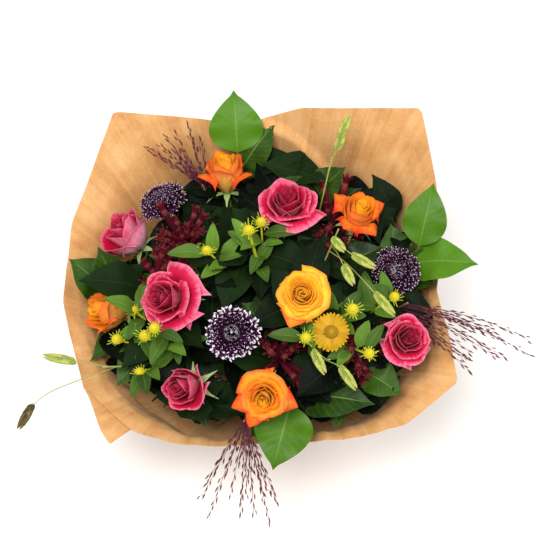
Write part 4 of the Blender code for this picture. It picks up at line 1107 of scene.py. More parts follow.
def floret(petals, length, mouth, cuts=3, fringe=1.0):
    """A tubular floret with a flared mouth cut into rounded lobes, as a model that stands on its foot.

    The fringe says how much of its lobes takes the colour of their tips.
    """
    sides = petals * cuts
    turns = np.arange(sides) * math.tau / sides
    lobe = 0.5 + 0.5 * np.cos(turns * petals)
    # The radius, height and depth of cut of each ring, and how far it counts as along
    rings = [
        (0.12 * mouth, 0.0, 0, 0.0), (0.42 * mouth, 0.82 * length, 0.15, 0.6),
        (0.86 * mouth, 0.97 * length, 0.5, 1.0), (0.9 * mouth, 0.92 * length, 0.52, 1.0),
        (0.4 * mouth, 0.7 * length, 0.15, 0.25),
    ]
    grown, share = [], []
    for radius, height, cut, level in rings:
        reach = radius * (1 - cut * (1 - lobe))
        rise = height + cut * 0.55 * mouth * lobe
        grown.append(np.stack([reach * np.cos(turns), reach * np.sin(turns), rise], axis=1))
        share.append(level * (0.35 + 0.65 * lobe**2))
    points = np.concatenate([*grown, [[0, 0, 0], [0, 0, 0.5 * length]]])
    share = np.concatenate([*share, [0, 0]]) * fringe
    marks = marked(np.zeros(len(points)), share, 0.5, 0.0)
    return points, marks, [skin(len(rings), sides), caps(len(rings), sides)]


def ball(radius):
    """A small ball, for a stamen's head or a dome's knob, as a model."""
    bpy.ops.object.select_all(action="DESELECT")
    bpy.ops.mesh.primitive_ico_sphere_add(subdivisions=1, radius=radius)
    return taken(bpy.context.object)


def scabious_head(name, top, axis, radius):
    """A dome of florets, large and spreading at the rim, small and shut in the middle, dotted with stamens.

    An early head is dark and hollow in the middle, where its florets are still shut.
    """
    early = name == EARLY_SCABIOUS
    chance = random.Random(name)
    matrix = seat(top + axis * SEAT_GAP, axis)
    piece = Piece()
    dome = [(0.12, 0.0), (0.42, 0.05), (0.6, 0.14), (0.6, 0.3), (0.42, 0.42), (0.2, 0.42), (0.05, 0.4)]
    lathe(piece, [(r * radius, z * radius) for r, z in dome], 20, matrix, 0.0)
    if early:
        rim = floret(5, 0.46 * radius, 0.37 * radius, 4, fringe=1.35)
        bud = floret(4, 0.26 * radius, 0.10 * radius, fringe=0.2)
    else:
        rim = floret(5, 0.46 * radius, 0.27 * radius, 4)
        bud = floret(4, 0.26 * radius, 0.10 * radius)
    middle = floret(5, 0.36 * radius, 0.20 * radius)
    pale = ball(0.65 * MM)
    # The model, count, lean and reach of each ring, and how high over it the stamens stand
    rings = [
        (rim, 15, 84, 0.50, 0.5), (rim, 15, 66, 0.46, 0.5), (middle, 15, 50, 0.46, 0.42),
        (middle, 13, 38, 0.40, 0.42), (bud, 12, 26, 0.33, 0.3), (bud, 9, 16, 0.24, 0.3),
        (bud, 5, 8, 0.12, 0.3),
    ]
    for ring, (model, count, lean, out, above) in enumerate(rings):
        hollow = early and ring > 3
        for k in range(count):
            bearing = 360 / count * (k + 0.5 * (ring % 2)) + chance.uniform(-8, 8)
            way = facing(bearing, lean + chance.uniform(-8, 8))
            root = Vector((way.x, way.y, 0)).normalized() * out * radius * math.sin(math.radians(lean)) ** 0.3
            root.z = radius * ((0.02 if hollow else 0.14) + 0.26 * way.z)
            place = matrix @ seat(root, way, turn=chance.uniform(0, 6))
            size = Matrix.Scale(chance.uniform(0.8, 1.12), 4)
            stamp(piece, model, place @ size, 0.0 if hollow else chance.uniform(0.1, 0.9))
            stamens = 0
            if ring < 2 or not early:
                stamens = chance.choice((0, 1, 1, 2) if early else (1, 1, 2, 2))
            for _ in range(stamens):
                aside = Vector((chance.uniform(-1, 1), chance.uniform(-1, 1), 0)) * 0.14 * radius
                aside.z = radius * above * chance.uniform(0.9, 1.15)
                size = Matrix.Scale(chance.uniform(0.6, 1.1), 4)
                stamp(piece, pale, place @ Matrix.Translation(aside) @ size, 1.0)
    finish_piece(
        piece, f"scabious_{name}_florets", [f"scabious_{name}_head"], SCABIOUS_PURPLE
    )


def scabious_stem(name, line, axis):
    """The thin stem with its cup and its two rings of bracts, long and short."""
    node = f"scabious_{name}_stem"
    piece = Piece()
    course = smoothed(line)
    tube(piece, course, tapered(course, STEM_WIDTH["scabious"] / 2 * MM, 0.15), 10)
    radius = STEM_WIDTH["scabious"] / 2 * MM
    cup = [(0.9, -6), (1.4, -4), (2.4, -1.4), (2.6, 0), (0.4, 0)]
    lathe(piece, [(r * radius, z * MM) for r, z in cup], 14, seat(line[-1], axis))
    matrix = seat(line[-1] - axis * 1.8 * MM, axis, turn=1)
    for k in range(10):
        turned = matrix @ Matrix.Rotation(math.tau * k / 10, 4, "Z")
        sepal(piece, turned, SCABIOUS_SEPAL * (1 if k % 2 == 0 else 0.6), 2.6 * MM)
    finish_piece(piece, f"scabious_{name}_stalk", [node], GREEN_STEM)


# --- helenium ---


def helenium_bud(piece, disc, middle, axis, radius, chance):
    """A knobbly ball of unopened florets in a ring of thin green rays that curve up."""
    matrix = seat(middle, axis, turn=chance.uniform(0, 1))
    base = [(0.12, -0.5), (0.3, -0.42), (0.46, -0.2), (0.5, 0.02), (0.3, 0.05)]
    lathe(piece, [(r * radius, z * radius) for r, z in base], 12, matrix)
    for k in range(16):
        u, v = grid(3, 6)
        length = radius * chance.uniform(0.25, 0.72)
        half = chance.uniform(0.05, 0.10) * radius * (1 - v) ** 0.6 + 0.1 * MM
        out = 0.38 * radius + length * v
        lift = radius * (0.02 + 0.30 * v**2 * chance.uniform(-0.3, 1.9)) + 0.3 * np.abs(u) * half
        face = np.stack([out, u * half, lift], axis=-1)
        turned = matrix @ Matrix.Rotation(math.tau * k / 16 + chance.uniform(-0.08, 0.08), 4, "Z")
        sheet(piece, put(turned, face), chance.uniform(0.4, 1.0))
    knobbed_dome(disc, matrix @ Matrix.Translation((0, 0, 0.02 * radius)), 0.47 * radius, 0.55 * radius, 60)


def knobbed_dome(piece, matrix, radius, height, count):
    """A dome paved with small knobs, in the spiral that such flower heads grow in."""
    profile = [(radius * math.cos(a), height * math.sin(a)) for a in np.linspace(0, 1.4, 7)]
    lathe(piece, profile, 16, matrix, 0.2)
    size = Matrix.Scale(radius * 3.1 / math.sqrt(count), 4)
    for k in range(count):
        share = (k + 0.5) / count
        a, b = k * GOLDEN_ANGLE, math.acos(share * 0.98)
        way = Vector((math.sin(b) * math.cos(a), math.sin(b) * math.sin(a), math.cos(b)))
        place = Vector((way.x * radius, way.y * radius, way.z * height)) * 0.97
        stamp(piece, KNOB, matrix @ seat(place, way) @ size, share)


def grow_helenium():
    """Each spray with its buds, its open flower where it has one, and its leaves."""
    rule = random.Random(7)
    for name, (_, others) in HELENIUM.items():
        node = "helenium_" + name
        line = LINES[node]
        chance = random.Random(name)
        piece, leaves, disc = Piece(), Piece(), Piece()
        shoots, courses = [line], [smoothed(line)]
        tube(piece, courses[0], STEM_WIDTH["helenium"] / 2 * MM * 0.95, 10)
        axis = (UP + line[-1]).normalized()
        helenium_bud(piece, disc, line[-1] + UP * 2 * MM, axis, 11 * MM, chance)
        for k, place in enumerate(others):
            shoots.append(shoot_line(line, 0.70 + 0.03 * k, spot(place)))
            courses.append(smoothed(shoots[-1]))
            tube(piece, courses[-1], [1.3 * MM, *[1.1 * MM] * (len(courses[-1]) - 1)], 8)
            axis = (UP * 0.5 + shoots[-1][-1]).normalized()
            helenium_bud(piece, disc, shoots[-1][-1] + UP * MM, axis, 10 * MM, chance)
        if name == FLOWERING_SPRAY:
            middle, bearing, lean = HELENIUM_FLOWER
            axis = facing(bearing, lean)
            shoots.append(shoot_line(line, 0.72, spot(middle) - axis * 4 * MM))
            courses.append(smoothed(shoots[-1]))
            tube(piece, courses[-1], 1.5 * MM, 8)
            helenium_flower(shoots[-1][-1] + axis * 0.6 * MM, axis)
        helenium_leaves(node, leaves, shoots, courses, rule, chance)
        finish_piece(piece, node + "_stems", [node], BUD_GREEN)
        finish_piece(leaves, node + "_leaves", [node], HELENIUM_GREEN)
        finish_piece(disc, node + "_buds", [node], BUD_YELLOW)


def helenium_leaves(node, leaves, shoots, courses, rule, chance):
    """The slender leaves that the solid has, two on the stem and one a shoot, and smaller ones between."""
    for points, course in zip(shoots, courses):
        for share in ((0.92, 0.88) if points is shoots[0] else (0.72,)):
            root, _ = along(points, share)
            out = facing(rule.uniform(0, 360), 62) * rule.uniform(26, 36) * MM
            way = bend_taken(node, out, leaf_tip(root))
            if way:
                start = nearest_on(course, root)
                way += root - start
                face = leaf_face(start, way, HELENIUM_LEAF, lance, 0.1, 0.3, 0.0, 20, 9, stalk=0.7)
                sheet(leaves, face, chance.uniform(0.3, 0.9))
    for course in courses:
        for share in (0.5, 0.6, 0.68, 0.76, 0.83, 0.9, 0.95):
            root = along(course, share)[0]
            out = facing(chance.uniform(0, 360), chance.uniform(35, 85)) * chance.uniform(26, 46) * MM
            if fits(root, out):
                face = leaf_face(root, out, out.length * 0.34, lance, 0.12, 0.3, 0.03, 14, 7, stalk=0.6)
                sheet(leaves, face, chance.uniform(-0.1, 0.9))


def shoot_line(line, share, tip):
    """A side shoot that leaves a stem upwards and ends at its tip."""
    start, way = along(line, share)
    reach = (tip - start).length
    leave = (tip - start) * 0.9 + way * reach * 0.3
    arrive = (tip - start) * 0.7 + UP * reach * 0.4
    return hermite(start, leave, tip, arrive, 3)


def helenium_flower(top, axis):
    """The open flower: a ring of notched, drooping rays round a golden dome."""
    matrix = seat(top + axis * SEAT_GAP, axis)
    rays, disc = Piece(), Piece()
    chance = random.Random(5)
    count = 11
    lathe(rays, [(1.6 * MM, 0), (5 * MM, 1.0 * MM), (6.4 * MM, 2 * MM), (3 * MM, 2.3 * MM)], 16, matrix, 0.1)
    for k in range(count):
        u, v = grid(19, 12)
        ridges = np.cos(u * math.pi * 3)
        notch = (0.08 * ridges - 0.08) * np.clip((v - 0.7) / 0.3, 0, 1)
        out = 4.6 * MM + chance.uniform(13.4, 15.2) * MM * (v + notch - 0.05 * u**2 * v)
        half = (0.9 + chance.uniform(4.4, 5.6) * np.sin(np.minimum(1, v * 1.2) * math.pi / 2) ** 1.2) * MM
        lift = (2.4 + 0.5 * (k % 2)) * MM - 3.4 * MM * v**2 * chance.uniform(0.3, 1.6)
        lift = lift + 0.42 * MM * ridges * v + 0.9 * MM * u * v * (1 if k % 3 else -1)
        face = np.stack([out, u * half, lift], axis=-1)
        turned = matrix @ Matrix.Rotation(math.tau * k / count + chance.uniform(-0.1, 0.1), 4, "Z")
        sheet(rays, put(turned, face), chance.uniform(0.2, 1.0), 0.9 * BLADE, 0.5)
    knobbed_dome(disc, matrix @ Matrix.Translation((0, 0, 2.0 * MM)), 6.6 * MM, 5.4 * MM, 150)
    finish_piece(rays, "helenium_flower_rays", ["helenium_flower"], HELENIUM_YELLOW)
    finish_piece(disc, "helenium_flower_disc", ["helenium_flower"], HELENIUM_GOLD)


# --- kangaroo paws ---


def arched(root, way, arch, shares):
    """Points at those shares of the way from a root, lifted by an arch that grows with the square."""
    level = abs(way.normalized().z) < 0.99
    lift = (UP - way * UP.dot(way)).normalized() if level else Vector((1, 0, 0))
    return [root + way * t + lift * arch * way.length * t * t for t in shares]


def paw_flower(piece, root, way, arch, chance):
    """A curved woolly tube whose mouth splits into six pointed lobes that turn back, with stamens in it."""
    line = arched(root, way, arch, np.linspace(0, 0.8, 9))
    radii = [r * MM for r in (1.0, 1.9, 2.6, 3.0, 3.2, 3.3, 3.3, 3.2, 3.0)]
    tube(piece, line, radii, 8, chance.uniform(0.0, 0.8))
    end = (line[-1] - line[-2]).normalized()
    matrix = seat(line[-1] - end * 1.5 * MM, end, turn=chance.uniform(0, 1))
    length = way.length * 0.27
    for k in range(6):
        u, v = grid(3, 6)
        out = 2.7 * MM + length * 0.36 * v**1.8
        half = 1.6 * MM * (1 - v) ** 0.55 + 0.12 * MM
        face = np.stack([out - 0.25 * np.abs(u) * half, u * half, length * v * (1 - 0.25 * v)], axis=-1)
        turned = matrix @ Matrix.Rotation(math.tau * k / 6, 4, "Z")
        sheet(piece, put(turned, face), chance.uniform(0.3, 1.0))
        between = matrix @ Matrix.Rotation(math.tau * (k + 0.5) / 6, 4, "Z")
        thread = [between @ Vector((1.2 * MM, 0, 0)), between @ Vector((1.8 * MM, 0, length * 0.8))]
        tube(piece, thread, [0.25 * MM, 0.45 * MM], 4, 0.95)


def grow_paws():
    """Each stem with the fan of flowers that its solid has, and with more of them crowded down it."""
    rule = random.Random(3)
    for name, (_, count) in PAWS.items():
        node = "kangaroo_paw_" + name
        line = LINES[node]
        course = smoothed(line)
        chance = random.Random(name)
        piece = Piece()
        tube(piece, course, tapered(course, STEM_WIDTH["kangaroo_paw"] / 2 * MM, 0.3), 10, 0.1)
        for k in range(count):
            root, _ = along(line, 1 - 0.03 * k)
            out = facing(360 * k / count + rule.uniform(-15, 15), rule.uniform(22, 62))
            out *= rule.uniform(26, 34) * MM
            arch = rule.uniform(-0.3, 0.3)
            way = bend_taken(node, out, lambda bent: paw_throat(root, bent, arch))
            if way:
                paw_flower(piece, root, way, arch, chance)
        for _ in range(CROWDED_PAWS):
            root = along(course, chance.uniform(0.74, 1.0))[0]
            out = facing(chance.uniform(0, 360), chance.uniform(20, 84)) * chance.uniform(34, 50) * MM
            if fits(root, out, 0.5 * MM):
                paw_flower(piece, root, out, chance.uniform(-0.3, 0.3), chance)
        finish_piece(piece, node + "_flowers", [node], PAW_VELVET)


def paw_throat(root, way, arch):
    """Where the solid's split mouth has its deepest point."""
    points = arched(root, way, arch, (0.75, 1))
    return points[1] - (points[1] - points[0]).normalized() * 7 * MM


# --- grasses ---


def grow_grasses():
    """Each bunch of fountain grass: a fan of strands, most of them with a shorter one beside them."""
    rule = random.Random(11)
    for name, (_, heading, length, fan, count, sag) in GRASSES.items():
        node = "fountain_grass_" + name
        line = LINES[node]
        chance = random.Random(name)
        piece = Piece()
        tube(piece, smoothed(line), STEM_WIDTH["fountain_grass"] / 2 * MM * 0.9, 8, 0.2)
        forward = Vector(heading).normalized()
        side = forward.cross(UP).normalized()
        lift = side.cross(forward)
        for k in range(count):
            root, _ = along(line, 1 - 0.012 * k)
            a = math.radians(fan * (2 * k / (count - 1) - 1))
            b = math.radians(rule.uniform(-0.3, 0.3) * fan)
            out = (forward + side * math.tan(a) + lift * math.tan(b)).normalized()
            out *= length * rule.uniform(0.6, 1) * MM
            way = bend_taken(node, out, lambda bent: root + bent - UP * sag * bent.length)
            if way:
                grass_strand(piece, root, way, sag, chance)
                if name != "inner":
                    turned = Matrix.Rotation(chance.uniform(-0.09, 0.09), 3, "Z") @ way
                    beside = turned * chance.uniform(0.55, 0.93)
                    grass_strand(piece, root, beside, sag * chance.uniform(0.7, 1.2), chance)
        finish_piece(piece, node + "_plume", [node], GRASS_PURPLE)


def grass_strand(piece, root, way, sag, chance):
    """A thread that droops, with slim spikelets set apart along it on short stalks, on both sides."""
    course = [root + way * t - UP * sag * way.length * t * t for t in np.linspace(0, 1, 24)]
    tube(piece, course, 0.36 * MM * np.linspace(1, 0.5, 24), 4, 0.3)
    count = int(way.length / (4.6 * MM))
    for k in range(int(count * 0.2), count):
        place, onward = along(course, (k + chance.uniform(0.2, 0.8)) / count)
        turn = Matrix.Rotation(k * 2.4 + chance.uniform(-0.5, 0.5), 3, onward)
        out = turn @ onward.orthogonal().normalized()
        stalk = onward * 2.5 * MM + out * chance.uniform(0.3, 2.6) * MM
        tube(piece, [place, place + stalk], 0.2 * MM, 3, 0.3)
        aim = (onward + out * chance.uniform(0.0, 0.35)).normalized()
        placed = seat(place + stalk * 0.95, aim, turn=k) @ Matrix.Scale(chance.uniform(0.7, 1.1), 4)
        stamp(piece, GRASS_SPIKELET, placed, chance.uniform(0.1, 1))


def grass_spikelet():
    """One grass spikelet, as a model: a slim spindle with a bristle."""
    bpy.ops.object.select_all(action="DESELECT")
    bpy.ops.mesh.primitive_cone_add(
        vertices=5, radius1=0.4 * MM, radius2=0.85 * MM, depth=2.0 * MM, location=(0, 0, 1.0 * MM)
    )
    made = bpy.context.object
    bpy.ops.object.mode_set(mode="EDIT")
    bpy.ops.mesh.select_all(action="DESELECT")
    bpy.ops.object.mode_set(mode="OBJECT")
    for face in made.data.polygons:
        face.select = face.normal.z > 0.9
    bpy.ops.object.mode_set(mode="EDIT")
    for rise, narrowed in ((2.6 * MM, 0.75), (2.2 * MM, 0.15)):
        bpy.ops.mesh.extrude_region_move(TRANSFORM_OT_translate={"value": (0, 0, rise)})
        bpy.ops.transform.resize(value=(narrowed, narrowed, 1))
    bpy.ops.object.mode_set(mode="OBJECT")
    bpy.ops.object.transform_apply(location=True)
    return taken(made)


def grow_oats():
    """Each sea oat stem, with its spikelets on thin stalks."""
    for name, (_, spikelets) in OATS.items():
        node = "sea_oats_" + name
        line = LINES[node]
        piece, dry = Piece(), Piece()
        tube(piece, smoothed(line), STEM_WIDTH["sea_oats"] / 2 * MM * 0.9, 8, 0.3)
        for k, (root, tip) in enumerate(spikelets):
            root, tip = spot(root), spot(tip)
            start, way = along(line, 0.98 - 0.02 * k)
            reach = (root - start).length
            inside = root + (tip - root) * 0.1
            leave = (inside - start) * 0.9 + way * reach * 0.3
            arrive = (tip - root).normalized() * reach * 0.6
            tube(piece, smoothed(hermite(start, leave, inside, arrive, 3)), 0.5 * MM, 6, 0.3)
            oat_spikelet(dry if (name, k) == DRY_OAT else piece, root, tip)
        finish_piece(piece, node + "_spikelets", [node], OATS_GREEN)
        if dry.points:
            finish_piece(dry, node + "_dry_spikelet", [node], OATS_BROWN)


def oat_spikelet(piece, root, tip):
    """A flat spikelet of pointed glumes that overlap in two rows, like a plait, and close in a point."""
    matrix = framed(root, tip - root, UP)
    length = (tip - root).length
    rib = [matrix @ Vector((0, t * length, 0)) for t in (0, 0.5, 0.93)]
    tube(piece, rib, [0.5 * MM, 0.8 * MM, 0.3 * MM], 6, 0.4)
    count = 16
    for k in range(count):
        turn = 1 if k % 2 else -1
        share = 0.02 + 0.70 * k / (count - 1)
        size = length * (0.27 + 0.08 * math.sin(math.pi * share))
        spread = SPIKELET * 0.5 * math.sin(math.pi * min(1, 0.2 + 0.95 * share)) ** 0.9
        u, v = grid(5, 7)
        half = 0.17 * SPIKELET * np.sin(math.pi * (0.12 + 0.87 * v)) ** 0.9 + 0.08 * MM
        middle = turn * (0.3 * MM + spread * 0.72 * np.sin(math.pi * np.minimum(1, 0.15 + 0.62 * v)))
        height = (0.9 - 0.5 * v + 0.5 * (1 - u**2)) * 1.1 * MM * (1 if k % 4 < 2 else 0.6)
        face = np.stack([middle + u * half, share * length + v * size, height], axis=-1)
        sheet(piece, put(matrix, face), (k % 5) / 4)
        under = (face * np.array([1, 1, -1]))[:, ::-1]
        sheet(piece, put(matrix, under), (k % 3) / 2)


# --- salal ---


def grow_salal():
    """Each salal stem with its broad leaves, and with the twigs and small leaves, painted dark as shade, that
    fill the room.
    """
    courses = {name: smoothed(LINES["salal_" + name]) for name in SALAL}
    woods = {name: Piece() for name in SALAL}
    fills = {name: Piece() for name in SALAL}
    fill_between(courses, woods, fills)
    for name, (_, leaves) in SALAL.items():
        node = "salal_" + name
        line, course, wood = LINES[node], courses[name], woods[name]
        chance = random.Random(name)
        piece = Piece()
        tube(wood, course, tapered(course, STEM_WIDTH["salal"] / 2 * MM, 0.35), 10, 0.3)
        for k, (tip, width) in enumerate(leaves):
            root, _ = along(line, 0.992 - 0.05 * k)
            wanted = spot(tip) - root
            way = bend_taken(node, wanted, leaf_tip(root))
            if way:
                way = wanted if k == 0 else way
                start = nearest_on(course, root)
                tone = YOUNG_LEAVES.get((name, k), chance.uniform(0.1, 0.4))
                way += root - start
                face = leaf_face(start, way, width * MM, pointed, 0.1, 0.16, 0.045, 34, 17)
                sheet(piece, face, tone, 1.1 * BLADE)
        finish_piece(wood, node + "_stem", [node], SALAL_TWIG)
        finish_piece(piece, node + "_leaves", [node], SALAL_GREEN)
        # The undergrowth takes the darker copy of the salal finish, which is painted shade
        finish_piece(fills[name], node + "_undergrowth", [node], SALAL_PAINTED_SHADE)


def gaps_between(chance):
    """Where the side twigs end: below the blooms all over the bunch, and inside the wrap's low front."""
    places = []
    for i in range(-10, 11):
        for j in range(-10, 11):
            x = (i + 0.5 * (j % 2) + chance.uniform(-0.3, 0.3)) * TWIG_STEP
            y = (j + chance.uniform(-0.3, 0.3)) * TWIG_STEP
            near = sorted((math.hypot(middle.x - x, middle.y - y), middle.z) for middle, _ in GREENS)
            if near[0][0] < TWIG_REACH:
                weights = [(1 / (gap + 5 * MM) ** 2, z) for gap, z in near[:4]]
                z = sum(weight * z for weight, z in weights) / sum(weight for weight, _ in weights)
                places.append(Vector((x, y, z - chance.uniform(28, 48) * MM)))
    for bearing in range(164, 372, 7):
        reach, height = read_ring(RIM, bearing)
        out = facing(bearing, 90) * (reach - chance.uniform(20, 34) * MM)
        places.append(Vector((out.x, out.y, height - chance.uniform(2, 20) * MM)))
    return places


def drawn_in(place):
    """The place, drawn in until it is well inside the paper, or None if it lies too far out."""
    for _ in range(6):
        if inside_paper(place, 12 * MM):
            return place
        place = Vector((place.x * 0.955, place.y * 0.955, place.z - 1.5 * MM))
    return None


def fill_between(courses, woods, fills):
    """Side twigs from the nearest salal stem into each gap between the blooms."""
    chance = random.Random(17)
    for gap in gaps_between(chance):
        place = drawn_in(gap)
        if place:
            starts = [(name, point) for name, course in courses.items() for point in course[12:]]
            lower = [(name, point) for name, point in starts if point.z < place.z - 22 * MM]
            name, start = min(lower, key=lambda pair: (pair[1] - place).length)
            grow_twig(woods[name], fills[name], start, place, chance)


def grow_twig(wood, fill, start, place, chance):
    """A side twig that rises from a stem to its place, with four leaves in a spiral near its end, painted
    dark as shade.
    """
    reach = (place - start).length
    twig = smoothed(hermite(start, UP * reach * 0.9, place, (place - start) * 0.8, 3), 4)
    tube(wood, twig, [(1.3 - 0.05 * n) * MM for n in range(len(twig))], 6, 0.2)
    turn = chance.uniform(0, 360)
    for share, lean in ((1.0, 66), (0.92, 80), (0.82, 84), (0.68, 84)):
        turn += 137.5
        root = along(twig, share)[0]
        out = facing(turn, lean + chance.uniform(-16, 14)) * chance.uniform(56, 78) * MM
        for _ in range(2):
            if not fits(root, out, margin=EDGE_ROOM):
                out *= 0.72
        over_paw = any((root + out * 0.6 - top).length < PAW_ROOM for top in PAW_TOPS)
        if fits(root, out, margin=EDGE_ROOM) and not over_paw:
            width = out.length * chance.uniform(0.5, 0.62)
            face = leaf_face(root, out, width, pointed, 0.12, 0.18, 0.05, 11, 5)
            # A tone that leans to the deep end, so that the painted shade stays dark
            tone = chance.uniform(-0.3, 0.5)
            if not cuts_bloom(face):
                sheet(fill, face, tone)


def cuts_bloom(face):
    """Whether any point of a leaf's face lies inside a bloom or bud."""
    return any(np.linalg.norm(face - np.array(middle), axis=2).min() < reach for middle, reach in HEADS)


def inside_paper(place, room):
    """Whether a place is inside the paper by that much, level with the nearest point of it."""
    gaps = np.linalg.norm(WRAP_POINTS - np.array(place), axis=1)
    near = WRAP_POINTS[gaps.argmin()]
    return math.hypot(place.x, place.y) < math.hypot(near[0], near[1]) - room


def pointed(share):
    """A salal leaf's outline: broad, and drawn out to a fine tip."""
    tip = 0.15 * min(1.0, (1 - share) / 0.13) * (share > 0.7)
    return max(float(ovate(min(1.0, share / 0.93))), tip)


def fits(root, way, room=3 * MM, margin=4 * MM):
    """Whether a small leaf or flower put there stays inside the paper and off the blooms."""
    for share in (0.5, 1.0):
        place = root + way * share
        if any((place - middle).length < reach + room for middle, reach in HEADS):
            return False
        if not inside_paper(place, margin):
            return False
    return True


# --- the wrap and the tie ---


def creased(bearing, v):
    """How far its folds push the paper out: pleats where it is gathered, and long soft creases above."""
    turn = math.radians(bearing)
    x, y = math.cos(turn), math.sin(turn)
    gathers = math.sin(turn * 19 + 1.8 * math.sin(turn * 3) + 1.1 * math.sin(turn * 7))
    if v < 0.25:
        pleats = gathers * ((0.25 - v) / 0.25) * 3.4 * MM
    else:
        pleats = gathers * smooth(abs(v - 0.31) / 0.11) * math.exp(-max(0.0, v - 0.36) / 0.11) * 1.7 * MM
    folds = (abs(noise.noise(Vector((x * 3.4, y * 3.4, v * 1.1)))) - 0.2) * 9.0 * MM
    folds *= smooth((v - 0.38) / 0.15) * (1 - 0.5 * smooth((v - 0.8) / 0.2))
    crumple = (abs(noise.noise(Vector((x * 7.0, y * 7.0, v * 9.0)))) - 0.2) * 1.6 * MM
    crumple *= smooth((v - 0.36) / 0.1)
    # One sharp fold, which runs up the right-hand side of the back
    past = (bearing - (62 + 80 * (v - 0.6))) / 16
    fold = -9 * MM * math.exp(-past) * smooth(past / 0.12) * smooth((v - 0.5) / 0.15) if past > 0 else 0.0
    # The rim turns out, but not at the back
    front = smooth((1 - math.cos(math.radians(bearing - 80))) / 2)
    curl = 9 * MM * (max(0.0, v - 0.8) / 0.2) ** 2 * front
    return pleats + folds + crumple + fold + curl


def straight_rim(bearing):
    """(reach, height) of the rim, whose corners are crisp: straight from each of its points to the next."""
    bearing %= 360
    row = closed_ring(SHEET_EDGE)
    for (a, near, low), (b, far, high) in zip(row, row[1:]):
        if a <= bearing <= b:
            before, after = math.radians(bearing - a), math.radians(b - bearing)
            first, last = near * math.sin(before), far * math.sin(after)
            reach = near * far * math.sin(before + after) / (first + last)
            return reach * MM, (low + (high - low) * first / (first + last)) * MM


def wrap_face(columns, rows):
    """The middle of the paper as a grid of points."""
    us, vs = np.linspace(-1, 1, columns), np.linspace(0, 1, rows)
    bearings = [SHEET_END - (360 + SHEET_OVERLAP) * (u + 1) / 2 for u in us]
    face = np.array([[wrap_point(u, v, COLLAR)[:] for u in us] for v in vs])
    share = np.clip((vs - 0.6) / 0.4, 0, 1) ** 1.3
    for k, bearing in enumerate(bearings):
        reach, height = straight_rim(bearing)
        eased_reach, eased_height = read_ring(RIM, bearing)
        out = facing(bearing, 90) * (reach - eased_reach)
        face[:, k] += np.outer(share, [out.x, out.y, height - eased_height])
    out = np.cross(np.gradient(face, axis=0), np.gradient(face, axis=1))
    out /= np.maximum(np.linalg.norm(out, axis=2, keepdims=True), 1e-12)
    if (out[..., 0] * face[..., 0] + out[..., 1] * face[..., 1]).mean() < 0:
        out = -out
    push = np.array([[creased(bearing, v) for bearing in bearings] for v in vs])
    return face + out * push[..., None]


def build_wrap():
    """The one sheet of paper round the stems."""
    piece = Piece()
    sheet(piece, wrap_face(300, 90), edge=1.0)
    finish_piece(piece, "kraft_wrap_sheet", ["kraft_wrap"], KRAFT, 60)


def build_tie():
    """Two turns of three-strand twine, with the knot that ends it."""
    piece = Piece()
    radius = COLLAR + LAP_SPREAD * PAPER_LAP + PAPER / 2 + 0.2 * MM + SEAT_GAP + TIE_CORD
    steps = 96 * TIE_TURNS
    line = []
    for i in range(steps + 1):
        a = math.tau * TIE_TURNS * i / steps
        climb = (i / steps - 0.5) * TIE_TURNS * 2 * TIE_CORD * 0.9
        line.append((radius * math.cos(a), radius * math.sin(a), TIE_HEIGHT + climb))
    tube(piece, line, TIE_CORD * 0.92, 18, 0.5, lobes=3, twist=STRAND_TWIST)
    knot = []
    for i in range(60):
        a = math.tau * i / 48
        out = radius + (1.2 + 1.5 * math.cos(2 * a)) * MM
        knot.append((out, 1.84 * MM * math.sin(3 * a), TIE_HEIGHT + 2.2 * MM * math.cos(a)))
    tube(piece, knot, TIE_CORD * 0.75, 12, 0.7, lobes=3, twist=STRAND_TWIST)
    finish_piece(piece, "jute_tie_twine", ["jute_tie"], JUTE, 60)


# --- the scene ---


def build_floor():
    bpy.ops.object.select_all(action="DESELECT")
    bpy.ops.mesh.primitive_plane_add(size=8)
    floor = bpy.context.object
    floor.name = "studio_floor"
    floor.data.materials.append(floor_finish())


def light(name, place, aim, size, power):
    lamp = bpy.data.lights.new(name, "AREA")
    lamp.size = size
    lamp.energy = power
    made = bpy.data.objects.new(name, lamp)
    made.location = place
    made.rotation_euler = (Vector(aim) - Vector(place)).to_track_quat("-Z", "Y").to_euler()
    bpy.context.scene.collection.objects.link(made)


def light_studio():
    """A small key light nearly overhead, a fill from the right, and a white room."""
    world = bpy.data.worlds.new("studio")
    world.use_nodes = True
    background = world.node_tree.nodes["Background"]
    background.inputs["Color"].default_value = linear("#FFFFFF")
    background.inputs["Strength"].default_value = 0.6
    bpy.context.scene.world = world
    light("key_softbox", (-0.35, -0.5, 2.4), LIT_PLACE, 0.8, 40)
    light("fill_softbox", (1.3, -0.1, 1.7), LIT_PLACE, 1.4, 14)
    bpy.context.scene.view_settings.view_transform = "Standard"


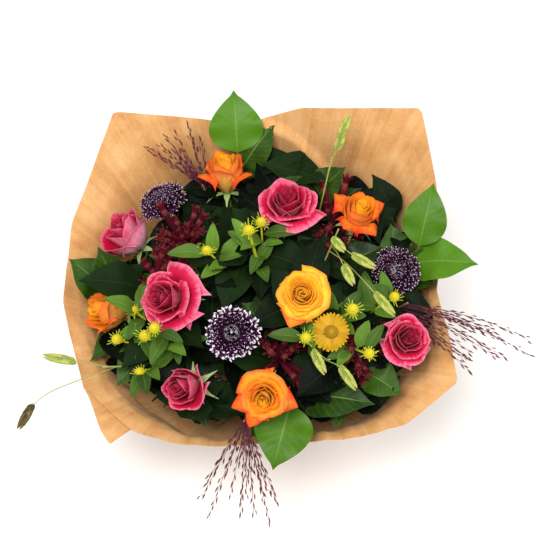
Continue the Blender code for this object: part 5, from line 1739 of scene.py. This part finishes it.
def aim_camera():
    data = bpy.data.cameras.new("camera")
    data.lens = 94.4
    data.sensor_width = 36
    made = bpy.data.objects.new("camera", data)
    made.location = Vector(CAMERA_PLACE) + Vector(SHIFT)
    aim = Vector(CAMERA_AIM) + Vector(SHIFT)
    made.rotation_euler = (aim - made.location).to_track_quat("-Z", "Y").to_euler()
    bpy.context.scene.collection.objects.link(made)
    bpy.context.scene.camera = made


def build_heads():
    """The roses and the scabious, each with its stem."""
    for name, (_, bearing, lean, radius, height, open_, colour) in ROSES.items():
        line = LINES["rose_" + name]
        axis = facing(bearing, lean)
        rose_stem(name, line, axis)
        rose_bloom(name, line[-1], axis, radius * MM, height * MM, open_, colour)
    for name, (_, bearing, lean, radius) in SCABIOUS.items():
        line = LINES["scabious_" + name]
        axis = facing(bearing, lean)
        scabious_stem(name, line, axis)
        scabious_head(name, line[-1], axis, radius * MM)


ROWS = stem_table()
WAIST_SPOTS = packed_waist(ROWS)
LINES = routes(ROWS, WAIST_SPOTS)
# The radius of the bound bundle
COLLAR = max(math.hypot(x, y) + STEM_WIDTH[row[1]] / 2 * MM for row, (x, y) in zip(ROWS, WAIST_SPOTS))
SHIFT = find_shift()
WRAP_POINTS = wrap_face(160, 40)[10:].reshape(-1, 3)
# The blooms and buds that small leaves keep off, by middle and radius
HEADS = [(spot(row[0]), row[3] * MM) for row in [*ROSES.values(), *SCABIOUS.values()]]
HEADS += [(spot(place), 10 * MM) for top, others in HELENIUM.values() for place in (top, *others)]
HEADS.append((spot(HELENIUM_FLOWER[0]), 19 * MM))
PAW_TOPS = [spot(top) + UP * 14 * MM for top, _ in PAWS.values()]
# All that shows from above, which the undergrowth lies below
GREENS = HEADS + [
    ((spot(tip) + spot(top)) / 2 + UP * 12 * MM, 0) for top, leaves in SALAL.values() for tip, _ in leaves
]
GREENS += [(top, 0) for top in PAW_TOPS]
KNOB = ball(0.5)
GRASS_SPIKELET = grass_spikelet()

build_wrap()
build_tie()
build_heads()
grow_oats()
grow_helenium()
grow_paws()
grow_grasses()
grow_salal()
build_floor()
light_studio()
aim_camera()
